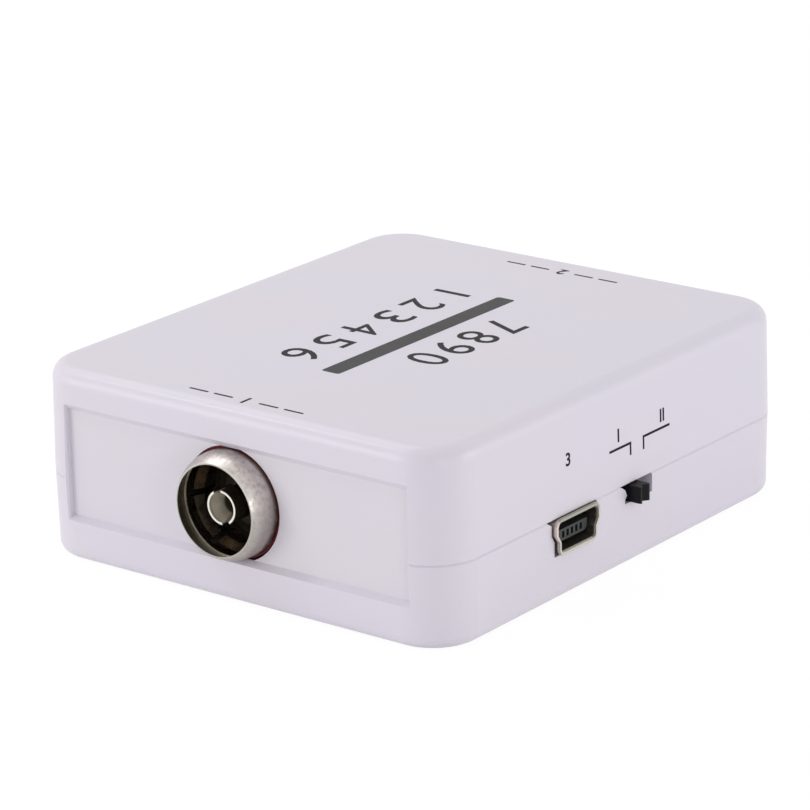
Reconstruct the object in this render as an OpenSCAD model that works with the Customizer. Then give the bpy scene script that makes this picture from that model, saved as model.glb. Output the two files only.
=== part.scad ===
// Small box that turns audio and video signals into an antenna signal, in millimetres.
// The origin is the centre of the underside. The antenna socket faces -Y, the audio
// and video sockets face +Y, and the power socket and the channel switch face +X.

/* [Case] */
// Width of the case across its end panels
case_width = 56.6; // [55.6:0.2:62]
// Length of the case from end to end
case_length = 64.8; // [64:0.2:74]
// Height of the closed case
case_height = 22; // [21.6:0.2:26]
// Height of the line where the two shells meet
parting_height = 9.4; // [9.3:0.1:10]
// Thickness of the case's walls, floor and roof
wall = 2; // [1.8:0.1:2.2]
// Radius of the case's upright corners
corner_radius = 5.8; // [5:0.2:6.6]
// Radius round the edge of the roof
top_fillet = 1.8; // [0.8:0.1:2]
// Radius round the edge of the floor
base_fillet = 1.3; // [0.6:0.1:1.8]
// Lean of the moulded sides, in degrees
side_draft = 1; // [0.25:0.25:1.5]

/* [End panels] */
// Width of the window that shows an end panel
window_width = 46.9; // [45.5:0.1:47.5]
// Height of the window that shows an end panel
window_height = 13.6; // [13.2:0.1:13.8]
// Height of the window's lower edge
window_base = 4.6; // [4.4:0.1:4.8]
// Thickness of an end panel
panel_thickness = 1.5; // [1.2:0.1:1.8]
// How far an end panel lies behind the case's end
panel_recess = 0.95; // [0.8:0.05:1.1]
// How far an end panel runs behind the window's edge
panel_overlap = 1; // [0.7:0.1:1.2]

/* [Antenna socket] */
// Distance of the socket from the case's middle plane
jack_offset = -0.5; // [-1.5:0.1:1]
// Height of the socket's axis
jack_height = 11.05; // [10.9:0.05:11.3]
// Outer radius of the socket's barrel
barrel_radius = 6.05; // [5.9:0.05:6.2]
// Thickness of the drawn barrel
barrel_wall = 0.15; // [0.1:0.05:0.3]
// How far the rim stands out from the case's end
jack_reach = 2.1; // [1.6:0.1:3]
// Length of the dome that draws the barrel in to its rim
dome_length = 2.3; // [2:0.1:2.6]
// Radius of the dome's arc
dome_arc = 3.8; // [3.4:0.1:4.5]
// Outer radius of the slotted centre contact
contact_radius = 1.93; // [1.8:0.01:2.05]

/* [Power socket] */
// Distance of the socket's centre from the middle, towards the antenna socket
usb_offset = 9.45; // [8.5:0.05:10.2]
// Width of the socket's shell
usb_width = 7.7; // [7.5:0.1:7.9]
// Height of the socket's shell
usb_height = 3.85; // [3.75:0.05:3.95]
// Length of the socket's shell
usb_length = 9.2; // [8.8:0.1:9.6]
// How far the socket stands out from the case's side
usb_reach = 0.55; // [0.45:0.05:1]

/* [Channel switch] */
// Distance of the switch's centre from the middle, away from the antenna socket
switch_offset = 2.6; // [2:0.1:4]
// How far the knob slides
switch_travel = 1.9; // [1.5:0.1:2.1]
// Width of the knob along its travel
knob_width = 1.8; // [1.6:0.1:2]
// Height of the knob
knob_height = 1.9; // [1.7:0.1:2]
// How far the knob stands out from the case's side
knob_reach = 1.5; // [1:0.1:2]

/* [Audio and video sockets] */
// Distance between neighbouring sockets
rca_pitch = 14; // [13.6:0.1:14.2]
// Outer radius of a socket's metal shell
rca_radius = 4.15; // [4.1:0.05:4.2]
// How far a socket stands out from the case's end
rca_reach = 7.5; // [6:0.1:9]
// Radius of the hole that takes a plug's centre pin
rca_pin_hole = 1.65; // [1.6:0.05:1.7]

/* [Circuit board] */
// Thickness of the board
board_thickness = 1.6; // [1.2:0.1:1.8]

/* [Case screws] */
// Radius of a case screw's thread
screw_radius = 1.15; // [1:0.05:1.2]
// Radius of a case screw's head
screw_head_radius = 2; // [1.8:0.05:2.1]
// Length of a case screw's shank
screw_length = 12; // [11:0.5:13]

/* [Hidden] */
$fn = 64;

// Clearances, and how far cuts overrun and joined solids bite
slip = 0.05;
running = 0.12;
pin_gap = 0.1;
cut = 1;
bite = 0.2;

// Case
half_width = case_width / 2;
half_length = case_length / 2;
cavity_x = half_width - wall;
roof = case_height - wall;
edge_break = 0.15;
tongue_width = 0.9;
tongue_height = 1.2;
window_top = window_base + window_height;
window_bevel = 0.35;
window_head = 0.95;
window_sill = 0.5;

// End panels and the ribs behind them
panel_face = half_length - panel_recess;
panel_back = panel_face - panel_thickness;
panel_half = window_width / 2 + panel_overlap;
panel_low = window_base - panel_overlap;
panel_high = window_top + panel_overlap;
panel_corner = 0.6;
panel_edge_gap = 0.1;
rib = 1;
rib_face = panel_back - slip;
rib_bite = 0.3;

// Case screws and bosses
boss_radius = 2.6;
boss_foot_radius = 3.1;
boss_foot_height = 3.5;
boss_from_end = 10.9;
boss_x = cavity_x - boss_radius + bite;
boss_y = half_length - boss_from_end;
recess_gap = 0.2;
screw_seat = 2.6;
screw_head_height = 1.5;
screw_head_round = 0.5;
screw_tip = 1.5;
cross_width = 0.5;
cross_length = 2.4;
cross_depth = 0.8;
pilot_spare = 0.5;

// Circuit board and what holds it
board_top = parting_height - usb_height - slip;
board_base = board_top - board_thickness;
board_gap = 0.4;
board_x = cavity_x - board_gap;
board_y = rib_face - rib - board_gap;
shoulder_x = boss_x - boss_radius - board_gap;
shoulder_y = boss_y - boss_radius - board_gap;
pin_tail = 1;
pin_foot = board_base - pin_tail;
ledge_width = 1;
post_radius = 1.4;
post_inset = 3.8;
post_x = cavity_x - post_inset;
post_y = shoulder_y - post_radius - pin_gap;
seat_radius = 1.6;
peg_radius = 0.9;
peg_from_side = 9.8;
peg_x = cavity_x - peg_from_side;
peg_from_end = 6;
peg_y = half_length - peg_from_end;

// Turns a revolve or a cylinder so that it runs along +Y from the given point
module along_y(x, y, z) {
    translate([x, y, z]) rotate([-90, 0, 0]) children();
}

// Extrudes an outline drawn in x and z along +Y
module plate_y(y, thickness) {
    translate([0, y + thickness, 0]) rotate([90, 0, 0]) linear_extrude(thickness) children();
}

// Extrudes an outline drawn in y and z along +X
module plate_x(x, thickness) {
    translate([x, 0, 0]) rotate([90, 0, 90]) linear_extrude(thickness) children();
}

module rounded(width, height, radius) {
    square([width - 2 * radius, height], center = true);
    square([width, height - 2 * radius], center = true);
    for (x = [-1, 1], y = [-1, 1])
        translate([x * (width / 2 - radius), y * (height / 2 - radius)]) circle(radius);
}

module both_ways() {
    children();
    mirror([1, 0, 0]) children();
}

module four_corners(x, y) {
    for (i = [-1, 1], j = [-1, 1]) translate([i * x, j * y, 0]) children();
}

// What a fillet takes off a leaning side: the corner outside its arc
module fillet_waste(centre, radius) {
    difference() {
        translate(centre)
            polygon([[0, 0], [cos(side_draft), sin(side_draft)] * radius * 2,
                [1, 1] * radius * 2, [0, 1] * radius * 2]);
        translate(centre) circle(radius);
    }
}

// A wall's section, rounded where its leaning side meets the face at end_height
module moulded_section(points, side_start, end_height, radius) {
    rise = end_height - radius - side_start;
    centre_x = corner_radius - rise * tan(side_draft) - radius / cos(side_draft);
    difference() {
        polygon(points);
        fillet_waste([centre_x, end_height - radius], radius);
    }
}

module top_section() {
    side_start = parting_height + edge_break;
    rebate_x = corner_radius - wall + tongue_width + slip;
    rebate_top = parting_height + tongue_height + slip;
    moulded_section([[0, case_height],
        [corner_radius - (case_height - side_start) * tan(side_draft), case_height],
        [corner_radius, side_start], [corner_radius - edge_break, parting_height],
        [rebate_x, parting_height], [rebate_x, rebate_top],
        [corner_radius - wall, rebate_top], [corner_radius - wall, roof], [0, roof]],
        side_start, case_height, top_fillet);
}

module base_section() {
    side_start = parting_height - edge_break;
    tongue_x = corner_radius - wall + tongue_width;
    tongue_top = parting_height + tongue_height;
    mirror([0, 1]) moulded_section([[0, 0],
        [corner_radius - side_start * tan(side_draft), 0],
        [corner_radius, -side_start], [corner_radius - edge_break, -parting_height],
        [tongue_x, -parting_height], [tongue_x, -tongue_top],
        [corner_radius - wall, -tongue_top], [corner_radius - wall, -wall], [0, -wall]],
        -side_start, 0, base_fillet);
}

// Carries a wall section round the case's plan and closes the middle with a plate
module swept_shell(plate_height) {
    flat_x = case_width - 2 * corner_radius;
    flat_y = case_length - 2 * corner_radius;
    for (turn = [0 : 3]) {
        along = turn % 2 == 0 ? flat_y : flat_x;
        across = turn % 2 == 0 ? flat_x : flat_y;
        rotate([0, 0, 90 * turn]) translate([across / 2, along / 2, 0]) {
            rotate([90, 0, 0]) linear_extrude(along) children();
            rotate_extrude(angle = 90) children();
        }
    }
    translate([-flat_x / 2, -flat_y / 2, plate_height]) cube([flat_x, flat_y, wall]);
}

// The window in the +Y end wall: its head and sill slope in to the panel, and its
// sides are bevelled
module window_cut() {
    half = window_width / 2;
    bevel_start = half_length - window_bevel;
    edge = window_bevel + cut;
    head = window_top - window_head;
    sill = window_base + window_sill;
    intersection() {
        plate_x(-half_width, case_width) polygon([
            [panel_face - cut, sill], [panel_face, sill], [half_length, window_base],
            [half_length + cut, window_base], [half_length + cut, window_top],
            [half_length, window_top], [panel_face, head], [panel_face - cut, head]]);
        linear_extrude(case_height) polygon([
            [-half, panel_face - cut], [half, panel_face - cut], [half, bevel_start],
            [half + edge, half_length + cut], [-half - edge, half_length + cut],
            [-half, bevel_start]]);
    }
}

// The slot that the edge of an end panel sits in
module panel_slot() {
    half = panel_half + panel_edge_gap;
    translate([-half, rib_face, panel_low - panel_edge_gap])
        cube([2 * half, panel_face - rib_face,
            panel_high - panel_low + 2 * panel_edge_gap]);
}

module end_cuts() {
    for (side = [0, 1]) mirror([0, side, 0]) {
        window_cut();
        panel_slot();
    }
    along_y(jack_offset, jack_rim, jack_height)
        cylinder(h = panel_back_depth, r = barrel_radius + slip);
}

// Ribs that back an end panel: one at each side, and one along the floor or roof
module panel_ribs(low, high, bar_low, bar_high) {
    inner = window_width / 2 - rib_bite;
    both_ways() translate([inner, rib_face - rib, low])
        cube([cavity_x + bite - inner, rib, high - low]);
    translate([-inner - bite, rib_face - rib, bar_low])
        cube([2 * (inner + bite), rib, bar_high - bar_low]);
}

// Room for the antenna socket in the front ribs
jack_rib_gap = 8.6;

module jack_gap() {
    translate([jack_offset - jack_rib_gap, -rib_face - cut / 2, wall])
        cube([2 * jack_rib_gap, rib + cut, roof - wall]);
}

// Bosses for the case screws, set back where the lower shell's tongue passes them
module upper_bosses() {
    difference() {
        four_corners(boss_x, boss_y) translate([0, 0, parting_height])
            cylinder(h = roof - parting_height + bite, r = boss_radius);
        both_ways() translate([cavity_x - slip, -half_length, parting_height - cut])
            cube([wall, case_length, tongue_height + slip + cut]);
    }
}

module top_shell() {
    pilot_top = screw_seat + screw_length + screw_tip + pilot_spare;
    color("#e4dfe9") difference() {
        union() {
            swept_shell(roof) top_section();
            difference() {
                for (side = [0, 1]) mirror([0, side, 0])
                    panel_ribs(parting_height + tongue_height, roof + bite,
                        window_top - rib_bite, roof + bite);
                jack_gap();
            }
            upper_bosses();
            four_corners(post_x, post_y) translate([0, 0, board_top + slip])
                cylinder(h = roof - board_top, r = post_radius);
        }
        end_cuts();
        four_corners(boss_x, boss_y) translate([0, 0, parting_height - cut])
            cylinder(h = pilot_top - parting_height + cut, r = screw_radius + slip);
    }
}

// Notches in the side wall for the power socket and the knob. Both are open at the
// parting line and flare at one top corner.
usb_notch_gap = 0.3;
usb_flare_width = 0.75;
usb_flare_height = 0.5;
knob_start_gap = 0.75;
knob_end_gap = 0.7;
knob_flare_width = 0.75;
knob_flare_height = 0.5;
knob_tooth = 0.35;
knob_tooth_top = 1.2;
knob_tooth_foot = 1.65;
notch_top = parting_height + tongue_height + cut;

module usb_notch() {
    half = usb_width / 2 + usb_notch_gap;
    lower_half = usb_lower_width / 2 + usb_notch_gap;
    low = board_top - usb_notch_gap;
    slant_low = board_top + usb_slant_base;
    slant_high = board_top + usb_slant_top;
    plate_x(cavity_x - cut, wall + 2 * cut) translate([usb_y, 0]) polygon([
        [-lower_half, low], [lower_half, low], [lower_half, slant_low],
        [half, slant_high], [half, notch_top], [-half - usb_flare_width, notch_top],
        [-half - usb_flare_width, parting_height],
        [-half, parting_height - usb_flare_height], [-half, slant_high],
        [-lower_half, slant_low]]);
}

module knob_notch() {
    left = knob_start - knob_start_gap;
    right = knob_start + knob_width + switch_travel + knob_end_gap;
    low = knob_z - knob_height / 2 - pin_gap;
    plate_x(cavity_x - cut, wall + 2 * cut) polygon([
        [left, low], [right, low], [right, notch_top], [left - knob_flare_width, notch_top],
        [left - knob_flare_width, parting_height],
        [left, parting_height - knob_flare_height],
        [left + knob_tooth, parting_height - knob_tooth_top],
        [left, parting_height - knob_tooth_foot]]);
}

module bottom_shell() {
    color("#e4dfe9") difference() {
        union() {
            swept_shell(0) base_section();
            difference() {
                for (side = [0, 1]) mirror([0, side, 0])
                    panel_ribs(wall - bite, parting_height, wall - bite,
                        window_base + rib_bite);
                jack_gap();
            }
            four_corners(boss_x, boss_y) {
                translate([0, 0, wall - bite])
                    cylinder(h = parting_height - slip - wall + bite, r = boss_radius);
                translate([0, 0, wall - bite])
                    cylinder(h = boss_foot_height - wall + bite, r = boss_foot_radius);
            }
            both_ways() translate([board_x - ledge_width, -shoulder_y, wall - bite])
                cube([board_gap + ledge_width + bite, 2 * shoulder_y,
                    board_base - wall + bite]);
            four_corners(peg_x, peg_y) translate([0, 0, wall - bite])
                cylinder(h = board_base - wall + bite, r = seat_radius);
            for (side = [-1, 1]) translate([side * peg_x, -peg_y, board_base - bite])
                cylinder(h = board_thickness, r = peg_radius);
        }
        end_cuts();
        usb_notch();
        knob_notch();
        four_corners(boss_x, boss_y) {
            translate([0, 0, -cut])
                cylinder(h = screw_seat + cut, r = screw_head_radius + recess_gap);
            translate([0, 0, -cut])
                cylinder(h = parting_height + 2 * cut, r = screw_radius + pin_gap);
        }
    }
}

module panel_outline() {
    translate([0, (panel_low + panel_high) / 2])
        rounded(2 * panel_half, panel_high - panel_low, panel_corner);
}

// End panel with the antenna socket's hole
jack_hole_gap = 0.4;
jack_hole_drop = 0.1;

module front_panel() {
    color("#e2dee8") plate_y(-panel_face, panel_thickness) difference() {
        panel_outline();
        translate([jack_offset, jack_height - jack_hole_drop])
            circle(barrel_radius + jack_hole_gap);
    }
}

// End panel with a hole for the collar of each audio and video socket
collar_radius = 5;
collar_gap = 0.15;
housing_height = 11.4;
rca_height = board_top + housing_height / 2;

module rear_panel() {
    color("#e2dee8") plate_y(panel_back, panel_thickness) difference() {
        panel_outline();
        for (i = [-1 : 1]) translate([i * rca_pitch, rca_height])
            circle(collar_radius + collar_gap);
    }
}

// Pan-headed screws with a cross recess, driven up from below
module case_screws() {
    shank_top = screw_seat + screw_length;
    head_base = screw_seat - screw_head_height;
    color("#8f8f94") four_corners(boss_x, boss_y) difference() {
        rotate_extrude() {
            translate([0, head_base + screw_head_round])
                square([screw_head_radius, screw_head_height - screw_head_round]);
            translate([0, head_base])
                square([screw_head_radius - screw_head_round, screw_head_height]);
            intersection() {
                translate([screw_head_radius - screw_head_round, head_base + screw_head_round])
                    circle(screw_head_round);
                translate([0, head_base]) square([screw_head_radius, screw_head_height]);
            }
            polygon([[0, head_base + screw_head_round], [screw_radius, screw_seat - bite],
                [screw_radius, shank_top], [0, shank_top + screw_tip]]);
        }
        for (turn = [0, 90]) rotate([0, 0, turn])
            translate([-cross_length / 2, -cross_width / 2, head_base - cut])
                cube([cross_length, cross_width, cross_depth + cut]);
    }
}

// Circuit board, notched for the bosses and for the antenna socket's barrel
notch_half = 6.6;
notch_end_gap = 0.8;

module board_slot(x, y, length_x, length_y) {
    translate([x, y]) square([length_x + 2 * pin_gap, length_y + 2 * pin_gap], center = true);
}

module circuit_board() {
    notch_depth = board_y + jack_rim + barrel_length + notch_end_gap;
    color("#1f6a3c") translate([0, 0, board_base]) linear_extrude(board_thickness) difference() {
        union() {
            square([2 * board_x, 2 * shoulder_y], center = true);
            square([2 * shoulder_x, 2 * board_y], center = true);
        }
        translate([jack_offset - notch_half, -board_y - cut])
            square([2 * notch_half, notch_depth + cut]);
        for (side = [-1, 1]) {
            translate([side * peg_x, -peg_y]) circle(peg_radius + pin_gap);
            board_slot(jack_offset + side * bracket_leg_x, bracket_y + bracket_sheet / 2,
                bracket_leg_width, bracket_sheet);
            board_slot(frame_x + switch_depth / 2,
                switch_offset + side * (switch_length - switch_sheet) / 2,
                switch_leg_width, switch_sheet);
            for (along = [-1, 1])
                board_slot(shield_x + along * shield_tab_x,
                    shield_y + side * (shield_width - shield_sheet) / 2,
                    shield_tab_width, shield_sheet);
        }
        translate([jack_offset, tail_y]) circle(tail_radius + pin_gap);
        for (i = [-1 : 1]) {
            translate([terminal_x, switch_offset + i * terminal_pitch])
                circle(terminal_radius + pin_gap);
            translate([i * rca_pitch, av_tail_y]) circle(av_tail_radius + pin_gap);
            board_slot(i * rca_pitch, lug_y + lug_sheet / 2, lug_width, lug_sheet);
        }
    }
}

// Antenna socket: distances run inwards from its rim
jack_rim = -half_length - jack_reach;
barrel_length = 10.5;
barrel_flange_radius = 7;
barrel_flange = 0.9;
barrel_lip = 1.4;
bushing_wall = 0.22;
bushing_set = 0.25;
bushing_flange = 0.8;
bushing_flange_radius = 7.3;
panel_face_depth = jack_reach + panel_recess;
panel_back_depth = panel_face_depth + panel_thickness;
flange_depth = panel_back_depth + bushing_flange + slip;

module barrel_dome() {
    intersection() {
        translate([barrel_radius - dome_arc, dome_length]) difference() {
            circle(dome_arc);
            circle(dome_arc - barrel_wall);
        }
        translate([barrel_radius / 2, 0]) square([barrel_radius, dome_length]);
    }
}

module jack_barrel() {
    inner = barrel_radius - barrel_wall;
    color("#b9b4b2") along_y(jack_offset, jack_rim, jack_height) rotate_extrude() {
        barrel_dome();
        translate([inner, dome_length]) square([barrel_wall, barrel_length - dome_length]);
        translate([inner + barrel_wall / 2, flange_depth])
            square([barrel_flange_radius - inner - barrel_wall / 2, barrel_flange]);
        translate([barrel_radius - barrel_lip, barrel_length - barrel_wall])
            square([barrel_lip, barrel_wall]);
    }
}

// Red shoulder washer between the barrel and the panel
module jack_bushing() {
    inner = barrel_radius + slip;
    color("#8c1c1c") along_y(jack_offset, jack_rim, jack_height) rotate_extrude() {
        translate([inner, panel_face_depth + bushing_set])
            square([bushing_wall, panel_thickness + bushing_flange - bushing_set]);
        translate([inner, panel_back_depth])
            square([bushing_flange_radius - inner, bushing_flange]);
    }
}

// Plate behind the barrel's flange, with two legs soldered through the board
bracket_sheet = 0.8;
bracket_y = jack_rim + flange_depth + barrel_flange + slip;
bracket_radius = 7.5;
bracket_half = 9.2;
bracket_wing_height = 3.4;
bracket_leg_x = 8.3;
bracket_leg_width = 1.2;

module jack_bracket() {
    color("#c3c1bd") plate_y(bracket_y, bracket_sheet) difference() {
        union() {
            translate([jack_offset, jack_height]) circle(bracket_radius);
            translate([jack_offset - bracket_half, board_top])
                square([2 * bracket_half, bracket_wing_height]);
            for (side = [-1, 1])
                translate([jack_offset + side * bracket_leg_x - bracket_leg_width / 2, pin_foot])
                    square([bracket_leg_width, board_top - pin_foot + bite]);
        }
        translate([jack_offset, jack_height]) circle(barrel_radius + slip);
    }
}

// Spring sleeve that grips the plug: drawn in at its waist and slit along it
sleeve_start = 2;
sleeve_end = 7.6;
sleeve_wall = 0.22;
sleeve_collar = 0.7;
sleeve_waist = 0.85;
sleeve_steps = 8;
sleeve_slits = 6;
slit_width = 0.7;

module jack_sleeve() {
    outer = barrel_radius - barrel_wall - slip;
    span = sleeve_end - sleeve_start - 2 * sleeve_collar;
    curve = [for (i = [0 : sleeve_steps]) [
        outer - sleeve_waist * (1 - cos(360 * i / sleeve_steps)) / 2,
        sleeve_start + sleeve_collar + span * i / sleeve_steps]];
    outside = concat([[outer, sleeve_start]], curve, [[outer, sleeve_end]]);
    last = len(outside) - 1;
    inside = [for (i = [last : -1 : 0]) outside[i] - [sleeve_wall, 0]];
    color("#a9a49c") along_y(jack_offset, jack_rim, jack_height) difference() {
        rotate_extrude() polygon(concat(outside, inside));
        for (i = [0 : sleeve_slits / 2 - 1]) rotate([0, 0, 180 * i / (sleeve_slits / 2)])
            translate([-outer - cut, -slit_width / 2, sleeve_start + sleeve_collar])
                cube([2 * (outer + cut), slit_width, span]);
    }
}

// Insulator that closes the back of the barrel and holds the centre contact
insulator_hub_radius = 3.2;
insulator_hub = 2;
insulator_skirt = 4.1;

module jack_insulator() {
    back = barrel_length - barrel_wall - slip;
    front = sleeve_end + slip;
    color("#2b211c") along_y(jack_offset, jack_rim, jack_height) rotate_extrude() {
        inner = contact_radius + slip;
        translate([inner, front])
            square([barrel_radius - barrel_wall - slip - inner, back - front]);
        translate([inner, front - insulator_hub])
            square([insulator_hub_radius - inner, insulator_hub + bite]);
        translate([inner, front - insulator_hub / 2])
            square([insulator_skirt - inner, insulator_hub / 2 + bite]);
    }
}

// Centre contact: a slotted tube that narrows to grip the pin, with a tail to the board
contact_start = 1.2;
contact_end = 9;
contact_wall = 0.25;
funnel_start = 0.35;
funnel_end = 2;
contact_bore = 1.15;
contact_bore_end = 7;
contact_slot_width = 1;
contact_slot_length = 3;
contact_slot_turn = -17;
tail_radius = 0.5;
tail_gap = 2.6;
tail_y = jack_rim + barrel_length + tail_gap;

module jack_contact() {
    color("#b5b0a6") {
        along_y(jack_offset, jack_rim, jack_height) difference() {
            rotate_extrude() polygon([
                [contact_radius, contact_start], [contact_radius, contact_end],
                [0, contact_end], [0, contact_bore_end], [contact_bore, contact_bore_end],
                [contact_bore, contact_start + funnel_end],
                [contact_radius - contact_wall, contact_start + funnel_start],
                [contact_radius - contact_wall, contact_start]]);
            rotate([0, 0, contact_slot_turn])
                translate([-contact_slot_width / 2, -contact_radius - cut, contact_start - cut])
                    cube([contact_slot_width, 2 * (contact_radius + cut),
                        contact_slot_length + cut]);
        }
        along_y(jack_offset, jack_rim + contact_end - bite, jack_height)
            cylinder(h = tail_y - jack_rim - contact_end + bite, r = tail_radius);
        translate([jack_offset, tail_y, jack_height]) sphere(tail_radius);
        translate([jack_offset, tail_y, pin_foot])
            cylinder(h = jack_height - pin_foot, r = tail_radius);
    }
}

// Power socket: a folded shell, wide above and narrower below, seen along X
usb_y = -usb_offset;
usb_mouth = half_width + usb_reach;
usb_back = usb_mouth - usb_length;
usb_wall = 0.3;
usb_slant_base = 1.4;
usb_slant_top = 2.25;
usb_lower_width = 6.6;
usb_top_round = 0.85;
usb_base_round = 0.6;
usb_lip = 0.2;
usb_lip_length = 0.35;
usb_lip_steps = 4;
usb_foot_length = 1.6;
usb_foot_reach = 1;
usb_foot_set = 0.6;

// Two corner circles and the strip between them
module usb_corners(width, height, radius, inset) {
    translate([0, height]) {
        for (side = [-1, 1]) translate([side * (width / 2 - radius), 0])
            circle(radius - inset);
        square([width - 2 * radius, 2 * (radius - inset)], center = true);
    }
}

module usb_outline(inset) {
    half = usb_width / 2 - inset;
    lower = usb_lower_width / 2 - inset;
    high = usb_height - usb_top_round;
    translate([usb_y, board_top]) {
        polygon([[-half, high], [-half, usb_slant_top], [-lower, usb_slant_base],
            [-lower, usb_base_round], [lower, usb_base_round], [lower, usb_slant_base],
            [half, usb_slant_top], [half, high]]);
        usb_corners(usb_width, high, usb_top_round, inset);
        usb_corners(usb_lower_width, usb_base_round, usb_base_round, inset);
    }
}

// The mouth's rolled lip, in thin steps
module usb_lip() {
    step = usb_lip_length / usb_lip_steps;
    for (i = [0 : usb_lip_steps - 1])
        plate_x(usb_mouth - usb_lip_length + i * step, step)
            usb_outline(-usb_lip * sin(180 * (i + 1) / (usb_lip_steps + 1)));
}

module usb_shell() {
    lip_step = usb_lip_length / usb_lip_steps;
    color("#c9c4bb") {
        difference() {
            union() {
                plate_x(usb_back, usb_length) usb_outline(0);
                usb_lip();
            }
            plate_x(usb_back + usb_wall, usb_length) usb_outline(usb_wall);
            for (i = [1, 2]) plate_x(usb_mouth - i * lip_step, lip_step + cut)
                usb_outline(usb_wall - usb_lip * (1 - i / usb_lip_steps));
            translate([usb_back - cut, usb_y - usb_width / 2, board_top - cut])
                cube([usb_wall + 2 * cut, usb_width,
                    tongue_base + usb_groove_top - board_top + cut]);
        }
        for (side = [-1, 1], x = [usb_back + usb_foot_set,
                board_x - usb_foot_length - usb_foot_set])
            translate([x, usb_y + side * (usb_lower_width / 2 + usb_foot_reach / 2)
                - usb_foot_reach / 2 - usb_wall / 2, board_top])
                cube([usb_foot_length, usb_foot_reach + usb_wall, usb_wall]);
    }
}

// Black tongue with a slot for each contact, on a block that fills the shell's back
tongue_recess = 0.9;
tongue_half = 2.75;
tongue_thickness = 1.33;
tongue_drop = 1.22;
tongue_round = 0.6;
usb_block_length = 2.4;
usb_contact_count = 5;
usb_contact_pitch = 0.8;
usb_contact_width = 0.34;
usb_contact_sheet = 0.15;
usb_groove_gap = 0.05;
usb_groove_base = 0.3;
usb_groove_top = 1.05;
usb_contact_set = 0.6;
usb_contact_tail = 1.1;
tongue_top = board_top + usb_height - usb_wall - tongue_drop;
tongue_base = tongue_top - tongue_thickness;
usb_block_back = usb_back + usb_wall + slip;

module usb_tongue() {
    groove = usb_contact_width + 2 * usb_groove_gap;
    reach = usb_mouth - tongue_recess - usb_block_back;
    color("#1c1c1e") difference() {
        union() {
            plate_x(usb_block_back, usb_block_length) usb_outline(usb_wall + slip);
            plate_x(usb_block_back, reach) translate([usb_y, tongue_base]) {
                translate([0, tongue_thickness / 2])
                    rounded(2 * tongue_half, tongue_thickness, tongue_round);
                translate([-tongue_half, tongue_thickness / 2])
                    square([2 * tongue_half, tongue_thickness / 2]);
            }
        }
        usb_rows() translate([usb_block_back - cut, -groove / 2, tongue_base + usb_groove_base])
            cube([usb_length, groove, usb_groove_top - usb_groove_base]);
    }
}

module usb_rows() {
    middle = (usb_contact_count - 1) / 2;
    for (i = [0 : usb_contact_count - 1])
        translate([0, usb_y + (i - middle) * usb_contact_pitch, 0]) children();
}

// Bent strips that run from the tongue's slots down to the board
module usb_contacts() {
    low = board_top;
    high = tongue_base + usb_groove_top - usb_groove_gap;
    back = usb_back - usb_contact_sheet;
    color("#c9a95a") usb_rows()
        translate([0, usb_contact_width / 2, 0]) rotate([90, 0, 0])
            linear_extrude(usb_contact_width) polygon([
                [usb_mouth - tongue_recess - usb_contact_set, high],
                [back, high], [back, low + usb_contact_sheet],
                [back - usb_contact_tail, low + usb_contact_sheet],
                [back - usb_contact_tail, low], [back + usb_contact_sheet, low],
                [back + usb_contact_sheet, high - usb_contact_sheet],
                [usb_mouth - tongue_recess - usb_contact_set, high - usb_contact_sheet]]);
}

// Channel switch: a metal frame over an insulating base, with its slider between them
switch_depth = 3.6;
switch_height = 4.4;
switch_length = 8.5;
switch_sheet = 0.3;
switch_foot = 0.4;
switch_leg_width = 1;
switch_front_gap = 0.3;
slider_gap = 0.1;
slider_half = 2.1;
slider_height = 3.2;
slider_depth = 1.3;
knob_root = 0.5;
knob_bevel = 0.08;
knob_ridge = 0.3;
knob_groove = 0.45;
knob_z = parting_height - running - knob_height / 2;
knob_start = switch_offset - (knob_width + switch_travel) / 2;
frame_x = cavity_x - switch_front_gap - switch_depth;
frame_front = frame_x + switch_depth;
frame_low = board_top + switch_foot;

module switch_frame() {
    inner_length = switch_length - 2 * switch_sheet;
    window = knob_width + switch_travel + 2 * running;
    color("#b7b7ba") {
        difference() {
            translate([frame_x, switch_offset - switch_length / 2, frame_low])
                cube([switch_depth, switch_length, switch_height]);
            translate([frame_x - cut, switch_offset - inner_length / 2,
                frame_low + switch_sheet])
                cube([switch_depth - switch_sheet + cut, inner_length,
                    switch_height - 2 * switch_sheet]);
            translate([frame_front - switch_sheet - cut, switch_offset - window / 2,
                knob_z - knob_height / 2 - running])
                cube([switch_sheet + 2 * cut, window, knob_height + 2 * running]);
        }
        for (side = [-1, 1])
            translate([frame_x + (switch_depth - switch_leg_width) / 2, switch_offset
                + side * (switch_length - switch_sheet) / 2 - switch_sheet / 2, pin_foot])
                cube([switch_leg_width, switch_sheet, frame_low - pin_foot + bite]);
    }
}

switch_base_depth = 1.1;
terminal_pitch = 2.5;
terminal_radius = 0.3;
terminal_head = 0.55;
terminal_head_length = 0.15;
terminal_z = frame_low + switch_height / 2;
terminal_back_gap = 0.7;
terminal_x = frame_x - terminal_back_gap;

module switch_base() {
    color("#5a3a22") difference() {
        translate([frame_x - slip, switch_offset - switch_length / 2 + switch_sheet + slip,
            frame_low + switch_sheet + slip])
            cube([switch_base_depth, switch_length - 2 * (switch_sheet + slip),
                switch_height - 2 * (switch_sheet + slip)]);
        for (i = [-1 : 1])
            translate([frame_x - cut, switch_offset + i * terminal_pitch, terminal_z])
                rotate([0, 90, 0])
                    cylinder(h = switch_base_depth + 2 * cut, r = terminal_radius + slip);
    }
}

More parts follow.
